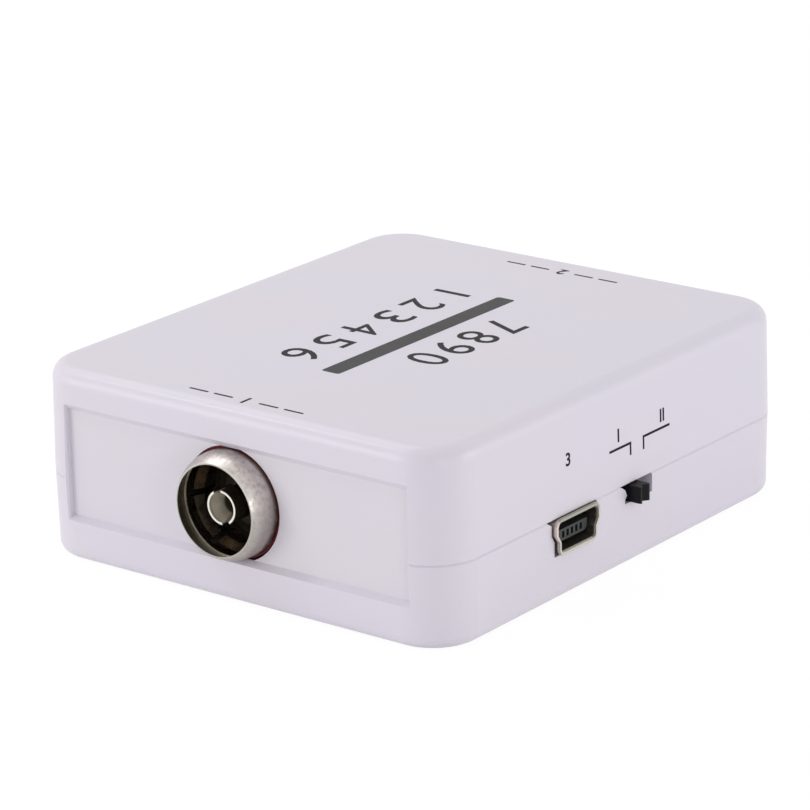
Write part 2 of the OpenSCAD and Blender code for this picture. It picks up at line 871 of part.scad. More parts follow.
// Riveted terminals that bend down through the board
module switch_terminals() {
    face = frame_x - slip + switch_base_depth;
    color("#cfc7b0") for (i = [-1 : 1]) translate([0, switch_offset + i * terminal_pitch, 0]) {
        translate([terminal_x, 0, terminal_z]) {
            sphere(terminal_radius);
            rotate([0, 90, 0]) cylinder(h = face - terminal_x + slip, r = terminal_radius);
        }
        translate([face, 0, terminal_z]) rotate([0, 90, 0])
            cylinder(h = terminal_head_length, r = terminal_head);
        translate([terminal_x, 0, pin_foot])
            cylinder(h = terminal_z - pin_foot, r = terminal_radius);
    }
}

// Slider with its knob, at the end of its travel that lies towards the antenna socket
slider_front = frame_front - switch_sheet - slider_gap;
slider_back = slider_front - slider_depth;
slider_y = switch_offset - switch_travel / 2;

module switch_slider() {
    tip = half_width + knob_reach;
    half = knob_width / 2;
    color("#1d1c20") {
        translate([slider_back, slider_y - slider_half, terminal_z - slider_height / 2])
            cube([slider_depth, 2 * slider_half, slider_height]);
        translate([0, slider_y, knob_z - knob_height / 2]) linear_extrude(knob_height)
            polygon([[slider_front - knob_root, -half], [tip - knob_bevel, -half],
                [tip, -half + knob_bevel], [tip, -half + knob_ridge],
                [tip - knob_groove, 0], [tip, half - knob_ridge],
                [tip, half - knob_bevel], [tip - knob_bevel, half],
                [slider_front - knob_root, half]]);
    }
}

// Sprung clip that the slider carries across the terminals
bridge_sheet = 0.2;
bridge_half = 1.7;
bridge_width = 1.6;
bridge_bow = 0.4;
bow_outer_share = 0.55;
bow_inner_share = 0.35;

module switch_bridge() {
    outer = bridge_half * bow_outer_share;
    inner = bridge_half * bow_inner_share;
    crest = -bridge_sheet - bridge_bow;
    color("#c8a45c") translate([slider_back - slip, slider_y, terminal_z - bridge_width / 2])
        linear_extrude(bridge_width) polygon([
            [0, -bridge_half], [0, bridge_half], [-bridge_sheet, bridge_half],
            [crest, outer], [crest, inner], [-bridge_sheet, 0], [crest, -inner],
            [crest, -outer], [-bridge_sheet, -bridge_half]]);
}

// Audio and video sockets: one moulded housing, and a shell, an insert, a contact
// and an earth lug for each of the three
housing_depth = 12;
housing_side = 5.6;
housing_bevel = 0.8;
housing_groove = 0.5;
rca_wall = 0.45;
rca_shoulder = 0.2;
shell_seat_radius = rca_radius - rca_shoulder;
rca_rim_bevel = 0.15;
shell_back_depth = 3.9;
partition = 1;
pocket_half = 5;
pocket_roof = 1.4;
lug_sheet = 0.4;
lug_width = 1.6;
lug_inner_radius = 2.6;
av_tail_radius = 0.4;
av_tail_set = 2.6;
insert_set = 0.7;
insert_guide = 3;
insert_lead = 0.4;
insert_ring_depth = 0.6;
insert_ring_radius = 2.7;
chamber_radius = 2.3;
insert_back_wall = 1.4;
av_contact_wall = 0.25;
av_contact_slit = 0.5;
av_contact_slit_length = 4;
housing_front = panel_back - slip;
housing_back = housing_front - housing_depth;
shell_back = housing_front - shell_back_depth;
rca_mouth = half_length + rca_reach;
lug_y = shell_back - lug_sheet;
partition_back = lug_y - slip - partition;
av_tail_y = housing_back + av_tail_set;
insert_back = shell_back;
insert_front = rca_mouth - insert_set;
chamber_end = insert_front - insert_guide;
contact_back = insert_back + insert_back_wall + slip;

module at_socket(i) {
    translate([i * rca_pitch, 0, rca_height]) children();
}

module av_housing() {
    half = rca_pitch + housing_side;
    top = board_top + housing_height;
    color("#232326") difference() {
        union() {
            plate_y(housing_back, housing_depth) polygon([
                [-half, board_top], [half, board_top], [half, top - housing_bevel],
                [half - housing_bevel, top], [-half + housing_bevel, top],
                [-half, top - housing_bevel]]);
            for (i = [-1 : 1]) at_socket(i) along_y(0, housing_front - bite, 0)
                cylinder(h = panel_thickness + bite, r = collar_radius);
        }
        for (i = [-1 : 1]) at_socket(i) {
            along_y(0, lug_y - slip, 0)
                cylinder(h = housing_depth, r = shell_seat_radius + slip);
            along_y(0, housing_back - cut, 0)
                cylinder(h = housing_depth, r = av_tail_radius + pin_gap);
            translate([-pocket_half, housing_back - cut, -housing_height])
                cube([2 * pocket_half, partition_back - housing_back + cut,
                    housing_height + housing_height / 2 - pocket_roof]);
            translate([-lug_width / 2 - slip, lug_y - slip, -housing_height])
                cube([lug_width + 2 * slip, lug_sheet + 2 * slip, housing_height]);
        }
        for (i = [-1, 1]) translate([i * rca_pitch / 2, 0, top])
            rotate([0, 45, 0]) translate([-housing_groove, housing_back - cut, -housing_groove])
                cube([2 * housing_groove, housing_depth + 2 * cut, 2 * housing_groove]);
    }
}

// Metal shell that a plug's outer ring slides over, with a shoulder against its collar
module socket_shell(i) {
    length = rca_mouth - shell_back;
    shoulder = housing_front + panel_thickness + slip - shell_back;
    color("#c8c8c6") at_socket(i) along_y(0, shell_back, 0) rotate_extrude()
        polygon([[shell_seat_radius, 0], [shell_seat_radius, shoulder],
            [rca_radius, shoulder], [rca_radius, length - rca_rim_bevel],
            [rca_radius - rca_rim_bevel, length], [rca_radius - rca_wall, length],
            [rca_radius - rca_wall, 0]]);
}

module video_shell() socket_shell(1);
module audio_left_shell() socket_shell(0);
module audio_right_shell() socket_shell(-1);

// Coloured insert with the hole that guides a plug's centre pin
module socket_insert(i, shade) {
    outer = rca_radius - rca_wall - slip;
    length = insert_front - insert_back;
    color(shade) at_socket(i) along_y(0, insert_back, 0) rotate_extrude()
        polygon([[outer, 0], [outer, length], [insert_ring_radius + insert_ring_depth, length],
            [insert_ring_radius, length - insert_ring_depth],
            [rca_pin_hole + insert_lead, length - insert_ring_depth],
            [rca_pin_hole, length - insert_ring_depth - insert_lead],
            [rca_pin_hole, length - insert_guide - insert_ring_depth],
            [chamber_radius, length - insert_guide - insert_ring_depth],
            [chamber_radius, insert_back_wall], [av_tail_radius + pin_gap, insert_back_wall],
            [av_tail_radius + pin_gap, 0]]);
}

module video_insert() socket_insert(1, "#e8c31a");
module audio_left_insert() socket_insert(0, "#ecebe6");
module audio_right_insert() socket_insert(-1, "#b8141c");

// Slit sleeves inside the inserts, each with a tail bent down through the board
module av_contacts() {
    length = chamber_end - insert_ring_depth - slip - contact_back;
    outer = chamber_radius - slip;
    color("#c4a860") for (i = [-1 : 1]) at_socket(i) {
        along_y(0, contact_back, 0) difference() {
            cylinder(h = length, r = outer);
            translate([0, 0, av_contact_wall])
                cylinder(h = length, r = outer - av_contact_wall);
            translate([-av_contact_slit / 2, -outer - cut, length - av_contact_slit_length])
                cube([av_contact_slit, 2 * (outer + cut), length]);
        }
        along_y(0, av_tail_y, 0)
            cylinder(h = contact_back + av_contact_wall / 2 - av_tail_y, r = av_tail_radius);
        translate([0, av_tail_y, 0]) sphere(av_tail_radius);
        translate([0, av_tail_y, pin_foot - rca_height])
            cylinder(h = rca_height - pin_foot, r = av_tail_radius);
    }
}

// Earth rings behind the shells, with legs through the board
module av_ground_lugs() {
    color("#c8c8c6") for (i = [-1 : 1]) at_socket(i) plate_y(lug_y, lug_sheet) difference() {
        union() {
            circle(shell_seat_radius);
            translate([-lug_width / 2, pin_foot - rca_height])
                square([lug_width, rca_height - pin_foot]);
        }
        circle(lug_inner_radius);
    }
}

// Screening can round the modulator stage, open below, with a lid pressed over it
shield_x = -1;
shield_y = -12;
shield_length = 26;
shield_width = 16;
shield_height = 5.8;
shield_sheet = 0.3;
shield_tab_x = 8;
shield_tab_width = 1.6;
shield_lip = 1.2;
shield_dimple = 0.5;

module shield_plan(inset) {
    translate([shield_x, shield_y])
        rounded(shield_length - 2 * inset, shield_width - 2 * inset, 2 * shield_sheet - inset);
}

module shield_frame() {
    color("#bfbfc2") {
        translate([0, 0, board_top]) linear_extrude(shield_height) difference() {
            shield_plan(0);
            shield_plan(shield_sheet);
        }
        for (side = [-1, 1], along = [-1, 1])
            translate([shield_x + along * shield_tab_x - shield_tab_width / 2,
                shield_y + side * (shield_width - shield_sheet) / 2 - shield_sheet / 2, pin_foot])
                cube([shield_tab_width, shield_sheet, board_top - pin_foot + bite]);
    }
}

module shield_lid() {
    lid_base = board_top + shield_height + slip;
    color("#c9c9cc") difference() {
        union() {
            translate([0, 0, lid_base]) linear_extrude(shield_sheet)
                shield_plan(-shield_sheet - slip);
            translate([0, 0, lid_base - shield_lip]) linear_extrude(shield_lip + slip)
                difference() {
                    shield_plan(-shield_sheet - slip);
                    shield_plan(-slip);
                }
        }
        translate([coil_x, coil_y, lid_base - cut])
            cylinder(h = shield_sheet + 2 * cut, r = coil_core_radius + shield_dimple);
    }
}

// Adjustable coil inside the can, reached through the lid's hole
coil_set = 7;
coil_x = shield_x - coil_set;
coil_y = shield_y;
coil_side = 6;
coil_height = 4.6;
coil_corner = 0.5;
coil_floor = 1.5;
coil_core_radius = 1.7;
coil_core_gap = 0.1;
coil_core_rise = 0.5;
coil_slot_width = 0.5;
coil_slot_depth = 0.7;

module tuning_coil() {
    color("#d9a8a0") translate([coil_x, coil_y, board_top]) difference() {
        linear_extrude(coil_height) rounded(coil_side, coil_side, coil_corner);
        translate([0, 0, coil_floor])
            cylinder(h = coil_height, r = coil_core_radius + coil_core_gap);
    }
}

module coil_core() {
    core_base = board_top + coil_floor;
    length = coil_height + coil_core_rise - coil_floor;
    color("#3a3a3e") translate([coil_x, coil_y, core_base]) difference() {
        cylinder(h = length, r = coil_core_radius);
        translate([-coil_slot_width / 2, -coil_core_radius - cut, length - coil_slot_depth])
            cube([coil_slot_width, 2 * (coil_core_radius + cut), coil_slot_depth + cut]);
    }
}

// Wide small-outline chip with bevelled sides, a marker dimple and bent legs
chip_y = 5.6;
chip_length = 12.8;
chip_width = 7.5;
chip_height = 2.3;
chip_standoff = 0.15;
chip_bevel = 0.25;
chip_leg_count = 10;
chip_leg_pitch = 1.27;
chip_leg_width = 0.42;
chip_leg_sheet = 0.25;
chip_leg_reach = 1.4;
chip_leg_foot = 0.8;
chip_dimple_radius = 0.6;
chip_dimple_depth = 0.15;

module chip_body(length, width, height, bevel) {
    rotate([90, 0, 90]) translate([0, 0, -length / 2]) linear_extrude(length) polygon([
        [-width / 2 + bevel, 0], [width / 2 - bevel, 0], [width / 2, height / 2],
        [width / 2 - bevel, height], [-width / 2 + bevel, height], [-width / 2, height / 2]]);
}

module modulator_chip() {
    low = board_top + chip_standoff;
    color("#26262a") difference() {
        translate([0, chip_y, low]) chip_body(chip_length, chip_width, chip_height, chip_bevel);
        translate([-chip_length / 2 + 2 * chip_dimple_radius,
            chip_y - chip_width / 2 + 2 * chip_dimple_radius,
            low + chip_height - chip_dimple_depth])
            cylinder(h = chip_dimple_depth + cut, r = chip_dimple_radius);
    }
}

// A bent leg, drawn as reach and height from the body's side
module bent_leg(reach, foot, height, sheet, width) {
    rotate([90, 0, 90]) translate([0, 0, -width / 2]) linear_extrude(width) polygon([
        [0, height], [reach - foot, height], [reach - foot, sheet], [reach, sheet], [reach, 0],
        [reach - foot - sheet, 0], [reach - foot - sheet, height - sheet], [0, height - sheet]]);
}

module chip_legs() {
    height = chip_standoff + chip_height / 2 + chip_leg_sheet / 2;
    color("#c6c6c8") for (side = [0, 1], i = [0 : chip_leg_count - 1])
        translate([(i - (chip_leg_count - 1) / 2) * chip_leg_pitch, chip_y, board_top])
            mirror([0, side, 0]) translate([0, chip_width / 2, 0])
                bent_leg(chip_leg_reach, chip_leg_foot, height, chip_leg_sheet, chip_leg_width);
}

// Low quartz crystal in a pressed can on a flanged base, with two flat leads
crystal_x = -9.8;
crystal_y = 13.8;
crystal_length = 10.2;
crystal_width = 3.8;
crystal_height = 3.2;
crystal_flange = 0.4;
crystal_lead_width = 0.6;
crystal_lead_reach = 1.2;
crystal_lead_sheet = 0.2;

module crystal_plan(spread) {
    length = crystal_length + 2 * spread;
    width = crystal_width + 2 * spread;
    square([length - width, width], center = true);
    for (side = [-1, 1]) translate([side * (length - width) / 2, 0]) circle(width / 2);
}

module crystal() {
    low = board_top + crystal_lead_sheet;
    color("#cfd0d2") translate([crystal_x, crystal_y, low]) {
        linear_extrude(crystal_flange) crystal_plan(crystal_flange);
        linear_extrude(crystal_height) crystal_plan(0);
    }
}

module crystal_leads() {
    length = crystal_length / 2 + crystal_flange + crystal_lead_reach;
    color("#c6c6c8") for (side = [0, 1])
        translate([crystal_x, crystal_y, board_top]) mirror([side, 0, 0])
            translate([length - 2 * crystal_lead_reach, -crystal_lead_width / 2, 0])
                cube([2 * crystal_lead_reach, crystal_lead_width, crystal_lead_sheet]);
}

// Electrolytic capacitors: a rolled can on a chamfered base
electrolytic_x_shares = [-0.74, -0.74, 0.6];
electrolytic_y_shares = [0, 0.28, 0.42];
electrolytic_radius = 2.5;
electrolytic_height = 7.2;
electrolytic_base = 6;
electrolytic_base_height = 1;
electrolytic_corner = 1.2;
electrolytic_neck = 0.3;
electrolytic_bead = 0.6;
electrolytic_rim = 0.35;

module electrolytics() {
    half = electrolytic_base / 2;
    radius = electrolytic_radius;
    bead_low = electrolytic_base_height + electrolytic_bead;
    for (i = [0 : len(electrolytic_x_shares) - 1]) translate([
            electrolytic_x_shares[i] * board_x, electrolytic_y_shares[i] * board_y, board_top]) {
        color("#1b1b1d") linear_extrude(electrolytic_base_height) polygon([
            [-half, -half], [half - electrolytic_corner, -half],
            [half, -half + electrolytic_corner], [half, half - electrolytic_corner],
            [half - electrolytic_corner, half], [-half, half]]);
        color("#b9bcc2") rotate_extrude() polygon([
            [0, electrolytic_base_height / 2], [radius, electrolytic_base_height / 2],
            [radius, bead_low], [radius - electrolytic_neck, bead_low + electrolytic_bead / 2],
            [radius, bead_low + electrolytic_bead],
            [radius, electrolytic_height - electrolytic_rim],
            [radius - electrolytic_rim, electrolytic_height], [0, electrolytic_height]]);
    }
}

// Voltage regulator with a broad tab and three legs
regulator_from_side = 10.3;
regulator_x = board_x - regulator_from_side;
regulator_y = 2.6;
regulator_length = 6.5;
regulator_width = 3.5;
regulator_height = 1.6;
regulator_tab_width = 3;
regulator_leg_width = 0.7;
regulator_leg_pitch = 2.3;

module regulator() {
    color("#26262a") translate([regulator_x, regulator_y, board_top + chip_standoff])
        chip_body(regulator_length, regulator_width, regulator_height, chip_bevel);
}

module regulator_legs() {
    height = chip_standoff + regulator_height / 2 + chip_leg_sheet / 2;
    color("#c6c6c8") translate([regulator_x, regulator_y, board_top]) {
        for (i = [-1 : 1]) translate([i * regulator_leg_pitch, 0, 0]) mirror([0, 1, 0])
            translate([0, regulator_width / 2, 0])
                bent_leg(chip_leg_reach, chip_leg_foot, height, chip_leg_sheet,
                    regulator_leg_width);
        translate([0, regulator_width / 2, 0])
            bent_leg(chip_leg_reach, chip_leg_foot, height, chip_leg_sheet,
                regulator_tab_width);
    }
}

// Power choke: a ferrite bobbin and its winding
choke_from_side = 9.5;
choke_from_corner = 1.6;
choke_x = board_x - choke_from_side;
choke_y = choke_from_corner - shoulder_y;
choke_radius = 2.9;
choke_height = 4.2;
choke_flange = 0.8;
choke_post_radius = 1.3;
choke_winding_inset = 0.35;

module choke_core() {
    color("#3c3c40") translate([choke_x, choke_y, board_top]) {
        cylinder(h = choke_flange, r = choke_radius);
        cylinder(h = choke_height, r = choke_post_radius);
        translate([0, 0, choke_height - choke_flange])
            cylinder(h = choke_flange, r = choke_radius);
    }
}

module choke_winding() {
    low = choke_flange + slip;
    color("#a4622c") translate([choke_x, choke_y, board_top + low]) difference() {
        cylinder(h = choke_height - 2 * low, r = choke_radius - choke_winding_inset);
        translate([0, 0, -cut])
            cylinder(h = choke_height + cut, r = choke_post_radius + slip);
    }
}

// Rows of small chip parts
chip_row_start = -1.5;
chip_row_pitch = 2.3;
resistor_row_y = 14.6;
capacitor_row_y = 12.6;
chip_row_count = 5;
side_row_from_side = 11.1;
side_row_x = side_row_from_side - board_x;
side_row_start = -1;
side_row_count = 4;
part_length = 1.6;
part_width = 0.8;
resistor_height = 0.45;
capacitor_height = 0.8;
part_edge = 0.1;

module chip_part(height) {
    rotate([90, 0, 90]) translate([0, 0, -part_length / 2]) linear_extrude(part_length)
        polygon([[-part_width / 2, 0], [part_width / 2, 0],
            [part_width / 2, height - part_edge], [part_width / 2 - part_edge, height],
            [-part_width / 2 + part_edge, height], [-part_width / 2, height - part_edge]]);
}

module chip_resistors() {
    color("#2c2c30") {
        for (i = [0 : chip_row_count - 1])
            translate([chip_row_start + i * chip_row_pitch, resistor_row_y, board_top])
                chip_part(resistor_height);
        for (i = [0 : side_row_count - 1])
            translate([side_row_x, side_row_start + i * chip_row_pitch, board_top])
                chip_part(resistor_height);
    }
}

module chip_capacitors() {
    color("#b09468") {
        for (i = [0 : chip_row_count - 1])
            translate([chip_row_start + i * chip_row_pitch, capacitor_row_y, board_top])
                chip_part(capacitor_height);
        for (i = [0 : side_row_count - 1])
            translate([side_row_x + 2 * part_length, side_row_start + i * chip_row_pitch,
                board_top])
                chip_part(capacitor_height);
    }
}

top_shell();
bottom_shell();
front_panel();
rear_panel();
case_screws();
circuit_board();
jack_barrel();
jack_bushing();
jack_bracket();
jack_sleeve();
jack_insulator();
jack_contact();
usb_shell();
usb_tongue();
usb_contacts();
switch_frame();
switch_base();
switch_terminals();
switch_slider();
switch_bridge();
av_housing();
video_shell();
audio_left_shell();
audio_right_shell();
video_insert();
audio_left_insert();
audio_right_insert();
av_contacts();
av_ground_lugs();
shield_frame();
shield_lid();
tuning_coil();
coil_core();
modulator_chip();
chip_legs();
crystal();
crystal_leads();
electrolytics();
regulator();
regulator_legs();
choke_core();
choke_winding();
chip_resistors();
chip_capacitors();
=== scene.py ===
import math
import bpy
from mathutils import Matrix, Vector


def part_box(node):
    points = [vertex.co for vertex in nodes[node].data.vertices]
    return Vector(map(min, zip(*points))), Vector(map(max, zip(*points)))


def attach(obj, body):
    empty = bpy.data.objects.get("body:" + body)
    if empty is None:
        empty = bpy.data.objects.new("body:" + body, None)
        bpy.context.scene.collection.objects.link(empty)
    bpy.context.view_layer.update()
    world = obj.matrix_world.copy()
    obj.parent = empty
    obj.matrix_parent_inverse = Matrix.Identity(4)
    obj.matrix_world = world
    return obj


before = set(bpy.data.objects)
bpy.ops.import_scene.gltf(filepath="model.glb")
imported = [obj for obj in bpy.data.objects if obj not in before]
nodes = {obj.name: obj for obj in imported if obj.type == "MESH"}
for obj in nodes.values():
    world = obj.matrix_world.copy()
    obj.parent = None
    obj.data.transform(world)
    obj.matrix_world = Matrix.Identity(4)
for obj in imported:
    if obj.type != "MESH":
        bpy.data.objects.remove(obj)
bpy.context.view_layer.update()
mm = 0.001
print("frame loaded with", len(nodes), "nodes")


# Small helpers for node trees and objects

def addNode(tree, kind, **settings):
    node = tree.nodes.new(kind)
    for key, value in settings.items():
        setattr(node, key, value)
    return node


def wire(tree, source, target):
    tree.links.new(source, target)


# An input takes a link from another socket, or a plain value
def feed(tree, value, target):
    if hasattr(value, "links"):
        wire(tree, value, target)
    else:
        target.default_value = value


def mathNode(tree, operation, first, second=0):
    node = addNode(tree, "ShaderNodeMath", operation=operation)
    feed(tree, first, node.inputs[0])
    feed(tree, second, node.inputs[1])
    return node.outputs[0]


# The mix node keeps its two colours in inputs 6 and 7, and their mix in output 2
def mixColour(tree, factor, first, second):
    node = addNode(tree, "ShaderNodeMix", data_type="RGBA")
    for place, value in ((0, factor), (6, first), (7, second)):
        feed(tree, value, node.inputs[place])
    return node.outputs[2]


def noise(tree, vector, scale, detail, roughness=0.5):
    node = addNode(tree, "ShaderNodeTexNoise")
    node.inputs["Detail"].default_value = detail
    node.inputs["Roughness"].default_value = roughness
    wire(tree, vector, node.inputs["Vector"])
    feed(tree, scale, node.inputs["Scale"])
    return node.outputs[0]


def spread(tree, value, low, high):
    node = addNode(tree, "ShaderNodeMapRange", interpolation_type="SMOOTHSTEP")
    wire(tree, value, node.inputs["Value"])
    feed(tree, low, node.inputs["From Min"])
    feed(tree, high, node.inputs["From Max"])
    return node.outputs[0]


def shaderGroup(name, inputs, outputs):
    tree = bpy.data.node_groups.new(name, "ShaderNodeTree")
    for label, kind, value in inputs:
        made = tree.interface.new_socket(name=label, in_out="INPUT", socket_type=kind)
        if value is not None:
            made.default_value = value
    for label, kind in outputs:
        tree.interface.new_socket(name=label, in_out="OUTPUT", socket_type=kind)
    return tree, addNode(tree, "NodeGroupInput").outputs, addNode(tree, "NodeGroupOutput").inputs


def addObject(name, data):
    thing = bpy.data.objects.new(name, data)
    bpy.context.scene.collection.objects.link(thing)
    return thing


# The mesh that an object shows once its curve and modifiers are worked out
def shownMesh(thing):
    shown = thing.evaluated_get(bpy.context.evaluated_depsgraph_get())
    return bpy.data.meshes.new_from_object(shown)


floatKind, colourKind, vectorKind = "NodeSocketFloat", "NodeSocketColor", "NodeSocketVector"
skinOutputs = [("Colour", colourKind), ("Roughness", floatKind), ("Height", floatKind)]


# Moulded plastic: slow clouds of tint, a fine grain and, in some finishes, small specks
mouldedPattern = {"cloudDetail": 2, "cloudRange": (0.35, 0.65), "grainDetail": 2,
                  "speckRatio": 14, "speckDetail": 1, "speckRange": (0.76, 0.82),
                  "speckColour": (0.25, 0.22, 0.22, 1), "patchRatio": 5, "patchDetail": 3,
                  "patchMean": 0.5}


def makeMouldedSkin():
    tree, given, out = shaderGroup("mouldedSkin", [
        ("Vector", vectorKind, None), ("Colour", colourKind, (0.8, 0.8, 0.8, 1)),
        ("Tint", colourKind, (0.8, 0.7, 0.7, 1)), ("Tint Amount", floatKind, 0.3),
        ("Cloud Scale", floatKind, 60), ("Grain Scale", floatKind, 2500),
        ("Speck Amount", floatKind, 0.2), ("Roughness", floatKind, 0.35),
        ("Roughness Spread", floatKind, 0.06)], skinOutputs)
    look = mouldedPattern
    place, cloudScale = given["Vector"], given["Cloud Scale"]
    cloud = spread(tree, noise(tree, place, cloudScale, look["cloudDetail"]),
                   *look["cloudRange"])
    tinted = mixColour(tree, mathNode(tree, "MULTIPLY", cloud, given["Tint Amount"]),
                       given["Colour"], given["Tint"])
    speckScale = mathNode(tree, "MULTIPLY", cloudScale, look["speckRatio"])
    specks = spread(tree, noise(tree, place, speckScale, look["speckDetail"]),
                    *look["speckRange"])
    speckled = mixColour(tree, mathNode(tree, "MULTIPLY", specks, given["Speck Amount"]),
                         tinted, look["speckColour"])
    patchScale = mathNode(tree, "MULTIPLY", cloudScale, look["patchRatio"])
    patch = noise(tree, place, patchScale, look["patchDetail"])
    swing = mathNode(tree, "MULTIPLY", mathNode(tree, "SUBTRACT", patch, look["patchMean"]),
                     given["Roughness Spread"])
    wire(tree, speckled, out["Colour"])
    wire(tree, mathNode(tree, "ADD", given["Roughness"], swing), out["Roughness"])
    wire(tree, noise(tree, place, given["Grain Scale"], look["grainDetail"]), out["Height"])
    return tree


# Plated metal: mottled tone, dull patches and small pits
platedPattern = {"blotchDetail": 8, "blotchRoughness": 0.65, "blotchRange": (0.38, 0.66),
                 "pitDetail": 4, "pitRoughness": 0.7, "pitRange": (0.55, 0.75),
                 "pitShare": 0.6}


def makePlatedSkin():
    tree, given, out = shaderGroup("platedSkin", [
        ("Vector", vectorKind, None), ("Colour", colourKind, (0.6, 0.6, 0.6, 1)),
        ("Dark", colourKind, (0.2, 0.2, 0.2, 1)), ("Blotch Scale", floatKind, 500),
        ("Blotch Amount", floatKind, 0.5), ("Pit Scale", floatKind, 4000),
        ("Roughness", floatKind, 0.35), ("Roughness Spread", floatKind, 0.2)], skinOutputs)
    look = platedPattern
    place, amount = given["Vector"], given["Blotch Amount"]
    blotch = spread(tree, noise(tree, place, given["Blotch Scale"], look["blotchDetail"],
                                look["blotchRoughness"]), *look["blotchRange"])
    pits = noise(tree, place, given["Pit Scale"], look["pitDetail"], look["pitRoughness"])
    pitted = mathNode(tree, "MULTIPLY", spread(tree, pits, *look["pitRange"]),
                      mathNode(tree, "MULTIPLY", amount, look["pitShare"]))
    tone = mixColour(tree, mathNode(tree, "MULTIPLY", blotch, amount), given["Colour"],
                     given["Dark"])
    dull = mathNode(tree, "MULTIPLY", blotch, given["Roughness Spread"])
    wire(tree, mixColour(tree, pitted, tone, given["Dark"]), out["Colour"])
    wire(tree, mathNode(tree, "ADD", given["Roughness"], dull), out["Roughness"])
    wire(tree, pits, out["Height"])
    return tree


# Drawn or turned metal: fine lines along one direction
brushedPattern = {"lineDetail": 3, "lineRoughness": 0.6, "lineRange": (0.35, 0.7)}


def makeBrushedSkin():
    tree, given, out = shaderGroup("brushedSkin", [
        ("Vector", vectorKind, None), ("Stretch", vectorKind, (1, 1, 1)),
        ("Colour", colourKind, (0.7, 0.7, 0.7, 1)), ("Dark", colourKind, (0.4, 0.4, 0.4, 1)),
        ("Line Scale", floatKind, 3000), ("Line Amount", floatKind, 0.4),
        ("Roughness", floatKind, 0.25), ("Roughness Spread", floatKind, 0.1)], skinOutputs)
    look = brushedPattern
    stretched = addNode(tree, "ShaderNodeVectorMath", operation="MULTIPLY")
    wire(tree, given["Vector"], stretched.inputs[0])
    wire(tree, given["Stretch"], stretched.inputs[1])
    lines = noise(tree, stretched.outputs[0], given["Line Scale"], look["lineDetail"],
                  look["lineRoughness"])
    share = mathNode(tree, "MULTIPLY", spread(tree, lines, *look["lineRange"]),
                     given["Line Amount"])
    dull = mathNode(tree, "MULTIPLY", lines, given["Roughness Spread"])
    wire(tree, mixColour(tree, share, given["Colour"], given["Dark"]), out["Colour"])
    wire(tree, mathNode(tree, "ADD", given["Roughness"], dull), out["Roughness"])
    wire(tree, lines, out["Height"])
    return tree


# A soft mask that rises along a direction from one distance to another
def makeReachMask():
    tree, given, out = shaderGroup("reachMask", [
        ("Vector", vectorKind, None), ("Direction", vectorKind, (0, -1, 0)),
        ("Start", floatKind, 0.0), ("End", floatKind, 1.0)], [("Mask", floatKind)])
    along = addNode(tree, "ShaderNodeVectorMath", operation="DOT_PRODUCT")
    wire(tree, given["Vector"], along.inputs[0])
    wire(tree, given["Direction"], along.inputs[1])
    wire(tree, spread(tree, along.outputs["Value"], given["Start"], given["End"]),
         out["Mask"])
    return tree


# A mask of the inner surface of a tube along Y, whose front is drawn in by an arc. It changes
# over between two shares of the wall, measured inwards from the outer surface.
hollowPattern = {"innerShare": 0.7, "outerShare": 0.3}


def makeHollowMask():
    tree, given, out = shaderGroup("hollowMask", [
        ("Vector", vectorKind, None), ("Axis X", floatKind, 0), ("Axis Z", floatKind, 0),
        ("Rim Y", floatKind, 0), ("Dome Length", floatKind, 0), ("Arc Centre", floatKind, 0),
        ("Arc", floatKind, 1), ("Wall", floatKind, 0.1)], [("Mask", floatKind)])

    def lengthOf(first, second):
        squares = [mathNode(tree, "POWER", side, 2) for side in (first, second)]
        return mathNode(tree, "SQRT", mathNode(tree, "ADD", *squares))

    def wallFace(share):
        return mathNode(tree, "SUBTRACT", given["Arc"],
                        mathNode(tree, "MULTIPLY", given["Wall"], share))

    parts = addNode(tree, "ShaderNodeSeparateXYZ")
    wire(tree, given["Vector"], parts.inputs[0])
    across = mathNode(tree, "SUBTRACT", parts.outputs["X"], given["Axis X"])
    above = mathNode(tree, "SUBTRACT", parts.outputs["Z"], given["Axis Z"])
    outward = mathNode(tree, "SUBTRACT", lengthOf(across, above), given["Arc Centre"])
    depth = mathNode(tree, "SUBTRACT", parts.outputs["Y"], given["Rim Y"])
    domed = mathNode(tree, "MINIMUM", depth, given["Dome Length"])
    reach = lengthOf(outward, mathNode(tree, "SUBTRACT", domed, given["Dome Length"]))
    outside = spread(tree, reach, wallFace(hollowPattern["innerShare"]),
                     wallFace(hollowPattern["outerShare"]))
    wire(tree, mathNode(tree, "SUBTRACT", 1, outside), out["Mask"])
    return tree


groups = {"moulded": makeMouldedSkin(), "plated": makePlatedSkin(),
          "brushed": makeBrushedSkin(), "reach": makeReachMask(), "paintedHollowLight": makeHollowMask()}
print("shader groups made")


# Every finish is a Principled BSDF fed by one skin. A hollow colour is painted shade or painted
# light on a tube's inner surface. Bands are painted highlights, reflections and shade on edges
# and faces, one of them partly real polish. Each has its values in a dictionary.
plainFinish = {"metallic": 0, "ior": 1.46, "coat": 0, "coatRoughness": 0.1,
               "mottleShare": 0.6, "viewportColour": (0.6, 0.6, 0.6, 1)}
bandSockets = ("Direction", "Start", "End")


def colour4(colour):
    return (*colour, 1)


def placeGroup(tree, kind, vector, values):
    node = addNode(tree, "ShaderNodeGroup", node_tree=groups[kind])
    wire(tree, vector, node.inputs["Vector"])
    for label, value in values.items():
        node.inputs[label].default_value = value
    return node


